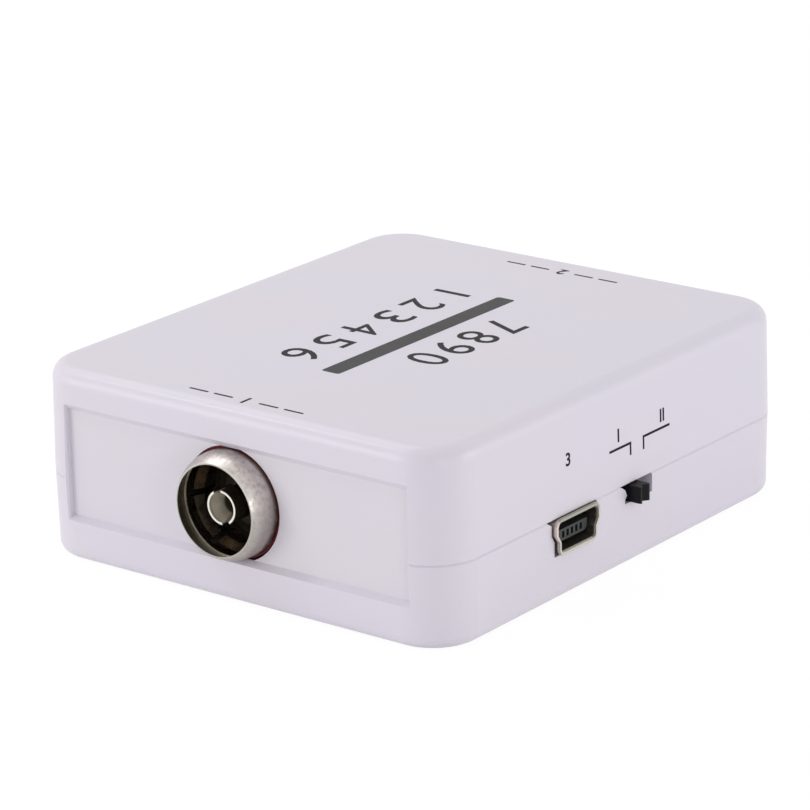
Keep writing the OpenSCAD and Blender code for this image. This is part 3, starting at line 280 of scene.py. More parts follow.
def makeFinish(name, look):
    look = {**plainFinish, **look}
    material = bpy.data.materials.new(name)
    material.use_nodes = True
    tree = material.node_tree
    shader = tree.nodes["Principled BSDF"]
    place = addNode(tree, "ShaderNodeTexCoord").outputs["Object"]
    skin = placeGroup(tree, look["skin"], place, look["values"])
    tone = skin.outputs["Colour"]
    rough = skin.outputs["Roughness"]
    # The hollow colour is painted shade inside the barrel and painted light inside the contact
    if "paintedHollowLight" in look:
        paintedHollowLight = look["paintedHollowLight"]
        inner = placeGroup(tree, "paintedHollowLight", place, paintedHollowLight["values"]).outputs["Mask"]
        mottle = mathNode(tree, "MULTIPLY", skin.outputs["Height"], look["mottleShare"])
        paintedHollowTone = mixColour(tree, mottle, colour4(paintedHollowLight["colour"]), colour4(paintedHollowLight["dark"]))
        tone = mixColour(tree, inner, tone, paintedHollowTone)
        rough = mathNode(tree, "ADD", rough, mathNode(tree, "MULTIPLY", inner,
                                                      paintedHollowLight["rougher"]))
        duller = mathNode(tree, "MULTIPLY", inner, paintedHollowLight["duller"])
        wire(tree, mathNode(tree, "SUBTRACT", look["metallic"], duller),
             shader.inputs["Metallic"])
    # Bands paint highlights, reflections and shade onto parts of a piece; the barrel's rim band
    # is partly real polish
    for band in look.get("paintedLightBands", ()):
        reach = placeGroup(tree, "reach", place, {label: band[label] for label in bandSockets})
        mask = mathNode(tree, "MULTIPLY", reach.outputs["Mask"], band["amount"])
        tone = mixColour(tree, mask, tone, colour4(band["colour"]))
        rough = mathNode(tree, "ADD", rough, mathNode(tree, "MULTIPLY", mask, band["rougher"]))
    wire(tree, tone, shader.inputs["Base Color"])
    wire(tree, rough, shader.inputs["Roughness"])
    bump = addNode(tree, "ShaderNodeBump")
    bump.inputs["Strength"].default_value = look["bump"]
    bump.inputs["Distance"].default_value = look["bumpDepth"] * mm
    wire(tree, skin.outputs["Height"], bump.inputs["Height"])
    wire(tree, bump.outputs["Normal"], shader.inputs["Normal"])
    shader.inputs["Metallic"].default_value = look["metallic"]
    shader.inputs["IOR"].default_value = look["ior"]
    shader.inputs["Coat Weight"].default_value = look["coat"]
    shader.inputs["Coat Roughness"].default_value = look["coatRoughness"]
    material.diffuse_color = look["viewportColour"]
    return material


def dress(material, *names):
    for name in names:
        piece = nodes[name]
        piece.data.materials.clear()
        piece.data.materials.append(material)


# Case and end panels
caseLook = {
    "skin": "moulded", "bump": 0.2, "bumpDepth": 0.008, "ior": 1.42,
    "coat": 0.12, "coatRoughness": 0.14,
    "values": {"Colour": (0.725, 0.69, 0.775, 1), "Tint": (0.755, 0.68, 0.735, 1),
               "Tint Amount": 0.3, "Cloud Scale": 55, "Grain Scale": 2200,
               "Speck Amount": 0, "Roughness": 0.4, "Roughness Spread": 0.06}}
panelLook = {
    "skin": "moulded", "bump": 0.2, "bumpDepth": 0.008, "ior": 1.42,
    "coat": 0.1, "coatRoughness": 0.18,
    "values": {"Colour": (0.72, 0.685, 0.755, 1), "Tint": (0.745, 0.68, 0.725, 1),
               "Tint Amount": 0.3, "Cloud Scale": 70, "Grain Scale": 2600,
               "Speck Amount": 0, "Roughness": 0.42, "Roughness Spread": 0.06}}
casePlastic = makeFinish("casePlastic", caseLook)
panelPlastic = makeFinish("panelPlastic", panelLook)
dress(casePlastic, "top_shell", "bottom_shell")
dress(panelPlastic, "front_panel", "rear_panel")

# Antenna socket
barrelLook = {
    "skin": "plated", "metallic": 1, "bump": 0.4, "bumpDepth": 0.012,
    "values": {"Colour": (0.62, 0.57, 0.54, 1), "Dark": (0.34, 0.30, 0.28, 1),
               "Blotch Scale": 1500, "Blotch Amount": 0.6, "Pit Scale": 8000,
               "Roughness": 0.29, "Roughness Spread": 0.2},
    # Painted shade: the barrel's inner surface is darker inside the mouth
    "paintedHollowLight": {"values": {"Axis X": -0.0005, "Axis Z": 0.01105, "Rim Y": -0.0345,
                          "Dome Length": 0.0023, "Arc Centre": 0.00225, "Arc": 0.0038,
                          "Wall": 0.00015},
               "colour": (0.10, 0.083, 0.06), "dark": (0.045, 0.036, 0.026),
               "rougher": 0.1, "duller": 0.2},
    # Painted highlight on the barrel's front rim, partly real polish from the plug
    "paintedLightBands": [{"Direction": (0, -1, 0), "Start": 0.03443, "End": 0.03449, "amount": 0.5,
               "colour": (0.72, 0.70, 0.66), "rougher": -0.12},
              # Painted shade: the barrel is darker towards its lower right
              {"Direction": (0.55, 0, -0.83), "Start": -0.0098, "End": -0.0045,
               "amount": 0.8, "colour": (0.38, 0.35, 0.325), "rougher": 0.04}]}
# The sleeve's dark brown colour is partly tarnish and partly painted shade for its deep cavity
sleeveLook = {
    "skin": "plated", "metallic": 1, "bump": 0.3, "bumpDepth": 0.02,
    "values": {"Colour": (0.24, 0.19, 0.14, 1), "Dark": (0.07, 0.055, 0.04, 1),
               "Blotch Scale": 500, "Blotch Amount": 0.6, "Pit Scale": 3500,
               "Roughness": 0.2, "Roughness Spread": 0.15},
    # Painted highlight on the sleeve's front edge
    "paintedLightBands": [{"Direction": (0, -1, 0), "Start": 0.03238, "End": 0.03247, "amount": 1,
               "colour": (0.95, 0.89, 0.74), "rougher": 0.35}]}
# The contact's dark outer colour is painted shade
contactLook = {
    "skin": "plated", "metallic": 1, "bump": 0.4, "bumpDepth": 0.02,
    "values": {"Colour": (0.16, 0.14, 0.11, 1), "Dark": (0.06, 0.05, 0.04, 1),
               "Blotch Scale": 1300, "Blotch Amount": 0.7, "Pit Scale": 4600,
               "Roughness": 0.4, "Roughness Spread": 0.15},
    # Painted light: the contact's inner surface is lighter and less metallic, as if lit inside
    # the socket
    "paintedHollowLight": {"values": {"Axis X": -0.0005, "Axis Z": 0.01105, "Rim Y": -0.0333,
                          "Dome Length": 0, "Arc Centre": 0, "Arc": 0.00193,
                          "Wall": 0.00025},
               "colour": (0.56, 0.51, 0.425), "dark": (0.25, 0.21, 0.165),
               "rougher": 0.15, "duller": 0.6},
    # Painted shade deeper inside the socket
    "paintedLightBands": [{"Direction": (0, 1, 0), "Start": -0.03165, "End": -0.0312, "amount": 0.9,
               "colour": (0.05, 0.04, 0.03), "rougher": 0},
              # Painted highlight on the contact's front rim
              {"Direction": (0, -1, 0), "Start": 0.03321, "End": 0.03329, "amount": 0.9,
               "colour": (0.86, 0.84, 0.77), "rougher": -0.2}]}
insulatorLook = {
    "skin": "moulded", "bump": 0.3, "bumpDepth": 0.02,
    "values": {"Colour": (0.016, 0.011, 0.007, 1), "Tint": (0.05, 0.035, 0.02, 1),
               "Tint Amount": 0.6, "Cloud Scale": 400, "Grain Scale": 4000,
               "Speck Amount": 0.1, "Roughness": 0.3, "Roughness Spread": 0.1}}
washerLook = {
    "skin": "moulded", "bump": 0.3, "bumpDepth": 0.02, "ior": 1.3,
    "values": {"Colour": (0.15, 0.004, 0.005, 1), "Tint": (0.09, 0.003, 0.003, 1),
               "Tint Amount": 0.6, "Cloud Scale": 300, "Grain Scale": 3000,
               "Speck Amount": 0.1, "Roughness": 0.42, "Roughness Spread": 0.1}}
dress(makeFinish("jackNickel", barrelLook), "jack_barrel", "jack_bracket")
dress(makeFinish("sleeveNickel", sleeveLook), "jack_sleeve")
dress(makeFinish("contactNickel", contactLook), "jack_contact")
dress(makeFinish("brownInsulator", insulatorLook), "jack_insulator")
dress(makeFinish("redWasher", washerLook), "jack_bushing")

# Power socket
socketTinLook = {
    "skin": "brushed", "metallic": 1, "bump": 0.2, "bumpDepth": 0.008,
    "values": {"Stretch": (0.25, 1, 1), "Colour": (0.42, 0.40, 0.355, 1),
               "Dark": (0.30, 0.28, 0.24, 1), "Line Scale": 1500, "Line Amount": 0.5,
               "Roughness": 0.27, "Roughness Spread": 0.14},
    # Painted highlight on the shell's front lip
    "paintedLightBands": [{"Direction": (1, 0, 0), "Start": 0.02872, "End": 0.02885, "amount": 0.7,
               "colour": (0.66, 0.63, 0.57), "rougher": -0.1},
              # Painted shade on the top of the shell
              {"Direction": (0, 0, 1), "Start": 0.0086, "End": 0.0090, "amount": 0.85,
               "colour": (0.36, 0.355, 0.30), "rougher": 0.1},
              # Painted light and painted reflection of the pink case on the shell's left side
              {"Direction": (0, -1, 0), "Start": 0.01275, "End": 0.01315, "amount": 0.8,
               "colour": (0.76, 0.66, 0.63), "rougher": 0.1}]}
tongueLook = {
    "skin": "moulded", "bump": 0.3, "bumpDepth": 0.01,
    "values": {"Colour": (0.019, 0.021, 0.022, 1), "Tint": (0.036, 0.038, 0.038, 1),
               "Tint Amount": 0.5, "Cloud Scale": 500, "Grain Scale": 5000,
               "Speck Amount": 0, "Roughness": 0.45, "Roughness Spread": 0.1}}
goldLook = {
    "skin": "brushed", "metallic": 1, "bump": 0.2, "bumpDepth": 0.01,
    "values": {"Stretch": (0.2, 1, 1), "Colour": (0.80, 0.58, 0.22, 1),
               "Dark": (0.55, 0.36, 0.12, 1), "Line Scale": 3000, "Line Amount": 0.5,
               "Roughness": 0.24, "Roughness Spread": 0.1}}
goldContact = makeFinish("goldContact", goldLook)
dress(makeFinish("socketTin", socketTinLook), "usb_shell")
dress(makeFinish("tonguePlastic", tongueLook), "usb_tongue")
dress(goldContact, "usb_contacts", "switch_bridge", "av_contacts")

# Channel switch
knobLook = {
    "skin": "moulded", "bump": 0.35, "bumpDepth": 0.02, "ior": 1.24,
    "values": {"Colour": (0.006, 0.006, 0.0055, 1), "Tint": (0.011, 0.01, 0.014, 1),
               "Tint Amount": 0.6, "Cloud Scale": 600, "Grain Scale": 3800,
               "Speck Amount": 0, "Roughness": 0.42, "Roughness Spread": 0.1}}
switchSteelLook = {
    "skin": "brushed", "metallic": 1, "bump": 0.25, "bumpDepth": 0.01,
    "values": {"Stretch": (1, 0.2, 1), "Colour": (0.60, 0.60, 0.61, 1),
               "Dark": (0.35, 0.35, 0.36, 1), "Line Scale": 2000, "Line Amount": 0.6,
               "Roughness": 0.26, "Roughness Spread": 0.16}}
phenolicLook = {
    "skin": "moulded", "bump": 0.4, "bumpDepth": 0.02,
    "values": {"Colour": (0.11, 0.045, 0.015, 1), "Tint": (0.18, 0.09, 0.04, 1),
               "Tint Amount": 0.7, "Cloud Scale": 900, "Grain Scale": 4000,
               "Speck Amount": 0.3, "Roughness": 0.55, "Roughness Spread": 0.1}}
dress(makeFinish("knobPlastic", knobLook), "switch_slider")
dress(makeFinish("switchSteel", switchSteelLook), "switch_frame", "switch_terminals")
dress(makeFinish("phenolic", phenolicLook), "switch_base")

# Audio and video sockets
shellNickelLook = {
    "skin": "brushed", "metallic": 1, "bump": 0.15, "bumpDepth": 0.01,
    "values": {"Stretch": (0.15, 1, 0.15), "Colour": (0.74, 0.73, 0.71, 1),
               "Dark": (0.52, 0.50, 0.47, 1), "Line Scale": 2600, "Line Amount": 0.5,
               "Roughness": 0.13, "Roughness Spread": 0.1}}
housingLook = {
    "skin": "moulded", "bump": 0.5, "bumpDepth": 0.02,
    "values": {"Colour": (0.018, 0.018, 0.02, 1), "Tint": (0.03, 0.03, 0.034, 1),
               "Tint Amount": 0.5, "Cloud Scale": 300, "Grain Scale": 3400,
               "Speck Amount": 0.05, "Roughness": 0.48, "Roughness Spread": 0.1}}


def insertLook(colour, tint):
    return {"skin": "moulded", "bump": 0.3, "bumpDepth": 0.02,
            "values": {"Colour": colour4(colour), "Tint": colour4(tint), "Tint Amount": 0.5,
                       "Cloud Scale": 260, "Grain Scale": 3000, "Speck Amount": 0.08,
                       "Roughness": 0.38, "Roughness Spread": 0.1}}


dress(makeFinish("shellNickel", shellNickelLook), "video_shell", "audio_left_shell",
      "audio_right_shell", "av_ground_lugs")
dress(makeFinish("housingPlastic", housingLook), "av_housing")
dress(makeFinish("yellowInsert", insertLook((0.85, 0.52, 0.02), (0.80, 0.44, 0.01))),
      "video_insert")
dress(makeFinish("whiteInsert", insertLook((0.80, 0.79, 0.75), (0.74, 0.72, 0.68))),
      "audio_left_insert")
dress(makeFinish("redInsert", insertLook((0.52, 0.014, 0.02), (0.42, 0.008, 0.014))),
      "audio_right_insert")

# Screws, board and what stands on it
screwLook = {
    "skin": "plated", "metallic": 1, "bump": 0.3, "bumpDepth": 0.01,
    "values": {"Colour": (0.33, 0.33, 0.34, 1), "Dark": (0.14, 0.14, 0.15, 1),
               "Blotch Scale": 700, "Blotch Amount": 0.5, "Pit Scale": 4000,
               "Roughness": 0.3, "Roughness Spread": 0.15}}
canLook = {
    "skin": "plated", "metallic": 1, "bump": 0.15, "bumpDepth": 0.01,
    "values": {"Colour": (0.66, 0.66, 0.67, 1), "Dark": (0.48, 0.48, 0.49, 1),
               "Blotch Scale": 260, "Blotch Amount": 0.5, "Pit Scale": 2000,
               "Roughness": 0.24, "Roughness Spread": 0.14}}
leadLook = {
    "skin": "plated", "metallic": 1, "bump": 0.2, "bumpDepth": 0.01,
    "values": {"Colour": (0.70, 0.70, 0.71, 1), "Dark": (0.50, 0.50, 0.50, 1),
               "Blotch Scale": 1500, "Blotch Amount": 0.5, "Pit Scale": 5000,
               "Roughness": 0.28, "Roughness Spread": 0.12}}
epoxyLook = {
    "skin": "moulded", "bump": 0.5, "bumpDepth": 0.02,
    "values": {"Colour": (0.018, 0.018, 0.019, 1), "Tint": (0.032, 0.032, 0.034, 1),
               "Tint Amount": 0.5, "Cloud Scale": 400, "Grain Scale": 5200,
               "Speck Amount": 0.1, "Roughness": 0.55, "Roughness Spread": 0.12}}
boardLook = {
    "skin": "moulded", "bump": 0.3, "bumpDepth": 0.02, "coat": 0.4, "coatRoughness": 0.25,
    "values": {"Colour": (0.012, 0.10, 0.03, 1), "Tint": (0.02, 0.15, 0.05, 1),
               "Tint Amount": 0.7, "Cloud Scale": 120, "Grain Scale": 1800,
               "Speck Amount": 0.2, "Roughness": 0.42, "Roughness Spread": 0.1}}
formerLook = {
    "skin": "moulded", "bump": 0.3, "bumpDepth": 0.02,
    "values": {"Colour": (0.70, 0.36, 0.31, 1), "Tint": (0.60, 0.28, 0.24, 1),
               "Tint Amount": 0.5, "Cloud Scale": 300, "Grain Scale": 3200,
               "Speck Amount": 0.1, "Roughness": 0.45, "Roughness Spread": 0.1}}
ferriteLook = {
    "skin": "moulded", "bump": 0.6, "bumpDepth": 0.03,
    "values": {"Colour": (0.035, 0.035, 0.037, 1), "Tint": (0.06, 0.06, 0.062, 1),
               "Tint Amount": 0.6, "Cloud Scale": 800, "Grain Scale": 4200,
               "Speck Amount": 0.3, "Roughness": 0.6, "Roughness Spread": 0.14}}
ceramicLook = {
    "skin": "moulded", "bump": 0.3, "bumpDepth": 0.02,
    "values": {"Colour": (0.42, 0.30, 0.16, 1), "Tint": (0.50, 0.38, 0.22, 1),
               "Tint Amount": 0.5, "Cloud Scale": 900, "Grain Scale": 5000,
               "Speck Amount": 0.1, "Roughness": 0.5, "Roughness Spread": 0.1}}
copperLook = {
    "skin": "brushed", "metallic": 1, "bump": 0.9, "bumpDepth": 0.12,
    "values": {"Stretch": (0.02, 0.02, 1), "Colour": (0.55, 0.20, 0.07, 1),
               "Dark": (0.26, 0.08, 0.03, 1), "Line Scale": 5200, "Line Amount": 0.9,
               "Roughness": 0.24, "Roughness Spread": 0.12}}
epoxy = makeFinish("chipEpoxy", epoxyLook)
ferrite = makeFinish("ferrite", ferriteLook)
bareCan = makeFinish("bareCan", canLook)
tinnedLead = makeFinish("tinnedLead", leadLook)
dress(makeFinish("screwZinc", screwLook), "case_screws")
dress(makeFinish("boardLaminate", boardLook), "circuit_board")
dress(bareCan, "shield_frame", "shield_lid", "crystal", "electrolytics")
dress(tinnedLead, "chip_legs", "crystal_leads", "regulator_legs")
dress(epoxy, "modulator_chip", "regulator", "chip_resistors")
dress(ferrite, "coil_core", "choke_core")
dress(makeFinish("coilFormer", formerLook), "tuning_coil")
dress(makeFinish("ceramic", ceramicLook), "chip_capacitors")
dress(makeFinish("copperWire", copperLook), "choke_winding")
print("materials made:", len(bpy.data.materials))


# Printed marks: thin solids that lie on the case
inkLook = {
    "skin": "moulded", "bump": 0.2, "bumpDepth": 0.005, "ior": 1.22,
    "values": {"Colour": (0.006, 0.006, 0.008, 1), "Tint": (0.012, 0.012, 0.015, 1),
               "Tint Amount": 0.5, "Cloud Scale": 700, "Grain Scale": 6000,
               "Speck Amount": 0, "Roughness": 0.5, "Roughness Spread": 0.1}}
barInkLook = {
    "skin": "moulded", "bump": 0.2, "bumpDepth": 0.005, "ior": 1.25,
    "values": {"Colour": (0.032, 0.032, 0.033, 1), "Tint": (0.048, 0.048, 0.05, 1),
               "Tint Amount": 0.5, "Cloud Scale": 300, "Grain Scale": 6000,
               "Speck Amount": 0, "Roughness": 0.45, "Roughness Spread": 0.1}}
ink = makeFinish("printInk", inkLook)
barInk = makeFinish("barInk", barInkLook)
printLook = {"thickness": 0.03, "sunk": 0.012, "curveSteps": 4, "cornerSteps": 6}
roofZ = 22.0
sideBreakZ = 9.65
sideLean = math.radians(1)


# The print's own frame: a point on the surface, then the directions across and up
def roofPlace(x, y, turn):
    angle = math.radians(turn)
    across = Vector((math.cos(angle), math.sin(angle), 0))
    up = Vector((-math.sin(angle), math.cos(angle), 0))
    return Vector((x, y, roofZ)), across, up


def sidePlace(y, z):
    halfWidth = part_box("bottom_shell")[1].x / mm
    x = halfWidth - (z - sideBreakZ) * math.tan(sideLean)
    return Vector((x, y, z)), Vector((0, 1, 0)), Vector((-math.sin(sideLean), 0,
                                                         math.cos(sideLean)))


# Takes a mesh from mm in the print's frame to its place, sunk a little into the surface
def layOn(mesh, place):
    origin, across, up = place
    out = across.cross(up)
    turn = Matrix((across, up, out)).transposed().to_4x4()
    lift = Matrix.Translation((origin - out * printLook["sunk"]) * mm)
    mesh.transform(lift @ turn @ Matrix.Scale(mm, 4))


def solidPrint(name, outline, place, material):
    curve = bpy.data.curves.new(name, "CURVE")
    curve.dimensions = "2D"
    curve.fill_mode = "BOTH"
    curve.extrude = printLook["thickness"] / 2
    line = curve.splines.new("POLY")
    line.points.add(len(outline) - 1)
    for point, (x, y) in zip(line.points, outline):
        point.co = (x, y, 0, 1)
    line.use_cyclic_u = True
    rough = addObject(name + "Curve", curve)
    mesh = shownMesh(rough)
    bpy.data.objects.remove(rough)
    mesh.transform(Matrix.Translation((0, 0, printLook["thickness"] / 2)))
    layOn(mesh, place)
    mesh.materials.clear()
    mesh.materials.append(material)
    piece = addObject(name, mesh)
    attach(piece, "case")


def roundedOutline(width, height, radius):
    steps = printLook["cornerSteps"]
    points = []
    for cornerX, cornerY, start in ((1, 1, 0), (-1, 1, 90), (-1, -1, 180), (1, -1, 270)):
        for step in range(steps + 1):
            angle = math.radians(start + 90 * step / steps)
            points.append((cornerX * (width / 2 - radius) + radius * math.cos(angle),
                           cornerY * (height / 2 - radius) + radius * math.sin(angle)))
    return points


# Plain numerals in the built-in font, brought to a set height and centred. A width of 0 keeps
# the font's own proportions, and a weight thickens the strokes.
def numeralPrint(name, words, height, width, place, weight=0):
    curve = bpy.data.curves.new(name, "FONT")
    curve.body = words
    curve.resolution_u = printLook["curveSteps"]
    curve.offset = weight
    rough = addObject(name + "Curve", curve)
    mesh = shownMesh(rough)
    bpy.data.objects.remove(rough)
    low = Vector([min(v.co[i] for v in mesh.vertices) for i in range(3)])
    high = Vector([max(v.co[i] for v in mesh.vertices) for i in range(3)])
    tall = height / (high.y - low.y)
    wide = width / (high.x - low.x) if width else tall
    centre = (low + high) / 2
    mesh.transform(Matrix.Diagonal((wide, tall, 1, 1)) @ Matrix.Translation(-centre))
    piece = addObject(name, mesh)
    thick = piece.modifiers.new("thickness", "SOLIDIFY")
    thick.thickness = printLook["thickness"]
    thick.offset = 1
    solid = shownMesh(piece)
    piece.modifiers.clear()
    piece.data = solid
    layOn(solid, place)
    solid.materials.clear()
    solid.materials.append(ink)
    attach(piece, "case")


# A row of flat rounded bars as one geometry node tree: printed rules and soldered pads
rowLook = {"cornerSteps": 4, "mergeDistance": 0.0001}


def makeRowTree():
    tree = bpy.data.node_groups.new("barRow", "GeometryNodeTree")
    for label, kind in (("Count", "NodeSocketInt"), ("First", vectorKind),
                        ("Step", vectorKind), ("Length", floatKind), ("Width", floatKind),
                        ("Rounding", floatKind), ("Thickness", floatKind),
                        ("Material", "NodeSocketMaterial")):
        tree.interface.new_socket(name=label, in_out="INPUT", socket_type=kind)
    tree.interface.new_socket(name="Geometry", in_out="OUTPUT",
                              socket_type="NodeSocketGeometry")
    given = addNode(tree, "NodeGroupInput").outputs
    outline = addNode(tree, "GeometryNodeCurvePrimitiveQuadrilateral")
    wire(tree, given["Length"], outline.inputs["Width"])
    wire(tree, given["Width"], outline.inputs["Height"])
    corners = addNode(tree, "GeometryNodeFilletCurve", mode="POLY")
    wire(tree, outline.outputs[0], corners.inputs["Curve"])
    wire(tree, given["Rounding"], corners.inputs["Radius"])
    corners.inputs["Count"].default_value = rowLook["cornerSteps"]
    corners.inputs["Limit Radius"].default_value = True
    sheet = addNode(tree, "GeometryNodeFillCurve", mode="NGONS")
    wire(tree, corners.outputs[0], sheet.inputs["Curve"])
    raised = addNode(tree, "GeometryNodeExtrudeMesh", mode="FACES")
    wire(tree, sheet.outputs[0], raised.inputs["Mesh"])
    wire(tree, given["Thickness"], raised.inputs["Offset Scale"])
    base = addNode(tree, "GeometryNodeFlipFaces")
    wire(tree, sheet.outputs[0], base.inputs["Mesh"])
    joined = addNode(tree, "GeometryNodeJoinGeometry")
    wire(tree, raised.outputs["Mesh"], joined.inputs[0])
    wire(tree, base.outputs[0], joined.inputs[0])
    closed = addNode(tree, "GeometryNodeMergeByDistance")
    closed.inputs["Distance"].default_value = rowLook["mergeDistance"]
    wire(tree, joined.outputs[0], closed.inputs["Geometry"])
    row = addNode(tree, "GeometryNodeMeshLine", mode="OFFSET")
    wire(tree, given["Count"], row.inputs["Count"])
    wire(tree, given["First"], row.inputs["Start Location"])
    wire(tree, given["Step"], row.inputs["Offset"])
    copies = addNode(tree, "GeometryNodeInstanceOnPoints")
    wire(tree, row.outputs[0], copies.inputs["Points"])
    wire(tree, closed.outputs[0], copies.inputs["Instance"])
    plain = addNode(tree, "GeometryNodeRealizeInstances")
    wire(tree, copies.outputs[0], plain.inputs[0])
    dressed = addNode(tree, "GeometryNodeSetMaterial")
    wire(tree, plain.outputs[0], dressed.inputs["Geometry"])
    wire(tree, given["Material"], dressed.inputs["Material"])
    wire(tree, dressed.outputs[0], addNode(tree, "NodeGroupOutput").inputs[0])
    return tree


rowTree = makeRowTree()


def barRow(name, sizes, place):
    rough = addObject(name + "Row", bpy.data.meshes.new(name + "Row"))
    row = rough.modifiers.new("row", "NODES")
    row.node_group = rowTree
    for item in rowTree.interface.items_tree:
        if item.in_out == "INPUT":
            row[item.identifier] = sizes[item.name]
    mesh = shownMesh(rough)
    rough.modifiers.clear()
    bpy.data.objects.remove(rough)
    layOn(mesh, place)
    piece = addObject(name, mesh)
    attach(piece, "case")


# Roof: a dark bar between two columns of numerals
roofPrint = {"barX": 1.42, "barY": -0.75, "barWidth": 2.4, "barLength": 32.2,
             "barRadius": 0.35,
             "left": {"x": -5.1, "y": 0.1, "height": 4.9, "width": 3.2, "pitch": 5.45,
                      "numerals": "123456"},
             "right": {"x": 7.35, "y": -0.3, "height": 5.1, "width": 3.1, "pitch": 4.6,
                       "numerals": "7890"}}
solidPrint("roof_bar", roundedOutline(roofPrint["barWidth"], roofPrint["barLength"],
                                      roofPrint["barRadius"]),
           roofPlace(roofPrint["barX"], roofPrint["barY"], 0), barInk)
for side in ("left", "right"):
    column = roofPrint[side]
    count = len(column["numerals"])
    for i, words in enumerate(column["numerals"]):
        y = column["y"] + (count / 2 - 0.5 - i) * column["pitch"]
        width = 0 if words == "1" else column["width"]
        numeralPrint(f"roof_numeral_{side}_{i + 1}", words, column["height"], width,
                     roofPlace(column["x"], y, -90))

# Near each end of the roof: a small numeral between short rules
edgePrint = {"height": 1.75, "weight": 0.02, "ruleLength": 2.6, "ruleWidth": 0.3,
             "ruleStep": 3.4, "ruleStart": 3.1, "ruleCount": 2, "ruleRounding": 0.12,
             "front": {"x": 0.05, "y": -29.3, "turn": 0, "words": "1"},
             "back": {"x": 0.5, "y": 27.4, "turn": 180, "words": "2"}}
for end in ("front", "back"):
    mark = edgePrint[end]
    place = roofPlace(mark["x"], mark["y"], mark["turn"])
    numeralPrint(f"{end}_numeral", mark["words"], edgePrint["height"], 0, place,
                 edgePrint["weight"])
    for side, way in (("left", -1), ("right", 1)):
        barRow(f"{end}_rules_{side}", {
            "Count": edgePrint["ruleCount"], "First": (way * edgePrint["ruleStart"], 0, 0),
            "Step": (way * edgePrint["ruleStep"], 0, 0), "Length": edgePrint["ruleLength"],
            "Width": edgePrint["ruleWidth"], "Rounding": edgePrint["ruleRounding"],
            "Thickness": printLook["thickness"], "Material": ink}, place)

# Side: two bent lines that lead to the switch, and a numeral over each place
sidePrint = {"lineWidth": 0.28, "weight": 0.02, "labelZ": 15.45, "labelHeight": 1.5,
             "leaders": {"first": {"start": -2.83, "end": 1.13, "z": 13.97, "foot": 12.6},
                         "second": {"start": 8.61, "end": 3.6, "z": 14.0, "foot": 12.57}},
             "numerals": {"first": {"words": "I", "y": -1.1},
                          "second": {"words": "II", "y": 7.2},
                          "socket": {"words": "3", "y": -10.4}}}


# A line along the surface, then down to its foot, drawn anticlockwise about its own height
def leaderOutline(leader, width):
    way = 1 if leader["end"] > leader["start"] else -1
    half = width / 2
    foot = leader["foot"] - leader["z"]
    inner, outer = leader["end"] - way * half, leader["end"] + way * half
    outline = [(leader["start"], half - width), (inner, half - width), (inner, foot),
               (outer, foot), (outer, half), (leader["start"], half)]
    return outline[::way]


for label, leader in sidePrint["leaders"].items():
    solidPrint(f"{label}_leader", leaderOutline(leader, sidePrint["lineWidth"]),
               sidePlace(0, leader["z"]), ink)
for label, mark in sidePrint["numerals"].items():
    numeralPrint(f"{label}_numeral", mark["words"], sidePrint["labelHeight"], 0,
                 sidePlace(mark["y"], sidePrint["labelZ"]), sidePrint["weight"])
print("printed marks made")

# Soldered pads on the board, under the chip's feet and the sockets' tails
padLook = {"chipPitch": 1.27, "chipCount": 10, "padLength": 1.5, "padWidth": 0.7,
           "rounding": 0.2, "thickness": 0.07, "footInset": 0.55, "tailPitch": 14.0,
           "tailSide": 2.2, "tailY": 20.45, "tailCount": 3}
chipLow, chipHigh = (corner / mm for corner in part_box("chip_legs"))
boardLow, boardHigh = (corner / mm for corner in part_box("circuit_board"))
for side, y in (("front", chipLow.y + padLook["footInset"]),
                ("back", chipHigh.y - padLook["footInset"])):
    first = -(padLook["chipCount"] - 1) / 2 * padLook["chipPitch"]
    barRow(f"chip_pads_{side}", {
        "Count": padLook["chipCount"], "First": (0, first, 0),
        "Step": (0, padLook["chipPitch"], 0), "Length": padLook["padLength"],
        "Width": padLook["padWidth"], "Rounding": padLook["rounding"],
        "Thickness": padLook["thickness"], "Material": tinnedLead},
        (Vector((0, y, boardHigh.z)), Vector((0, 1, 0)), Vector((-1, 0, 0))))
barRow("socket_pads", {
    "Count": padLook["tailCount"], "First": (-padLook["tailPitch"], 0, 0),
    "Step": (padLook["tailPitch"], 0, 0), "Length": padLook["tailSide"],
    "Width": padLook["tailSide"], "Rounding": padLook["tailSide"] / 2 - padLook["thickness"],
    "Thickness": padLook["thickness"], "Material": tinnedLead},
    (Vector((0, padLook["tailY"], boardLow.z)), Vector((1, 0, 0)), Vector((0, -1, 0))))
print("soldered pads made")


# Floor, room, lamps and camera. Floor and room look white where a ray shows them, straight or
# mirrored, and light the object more gently.
white = (1, 1, 1, 1)
floorLook = {"size": 4.0, "colour": (0.93, 0.93, 0.935), "glow": 0.93, "paper": 0.1}
worldLook = {"room": 0.6, "seen": 1.0}


def seenRays(tree):
    path = addNode(tree, "ShaderNodeLightPath")
    bounced = mathNode(tree, "MAXIMUM", path.outputs["Is Glossy Ray"],
                       path.outputs["Is Transmission Ray"])
    return mathNode(tree, "MAXIMUM", path.outputs["Is Camera Ray"], bounced)


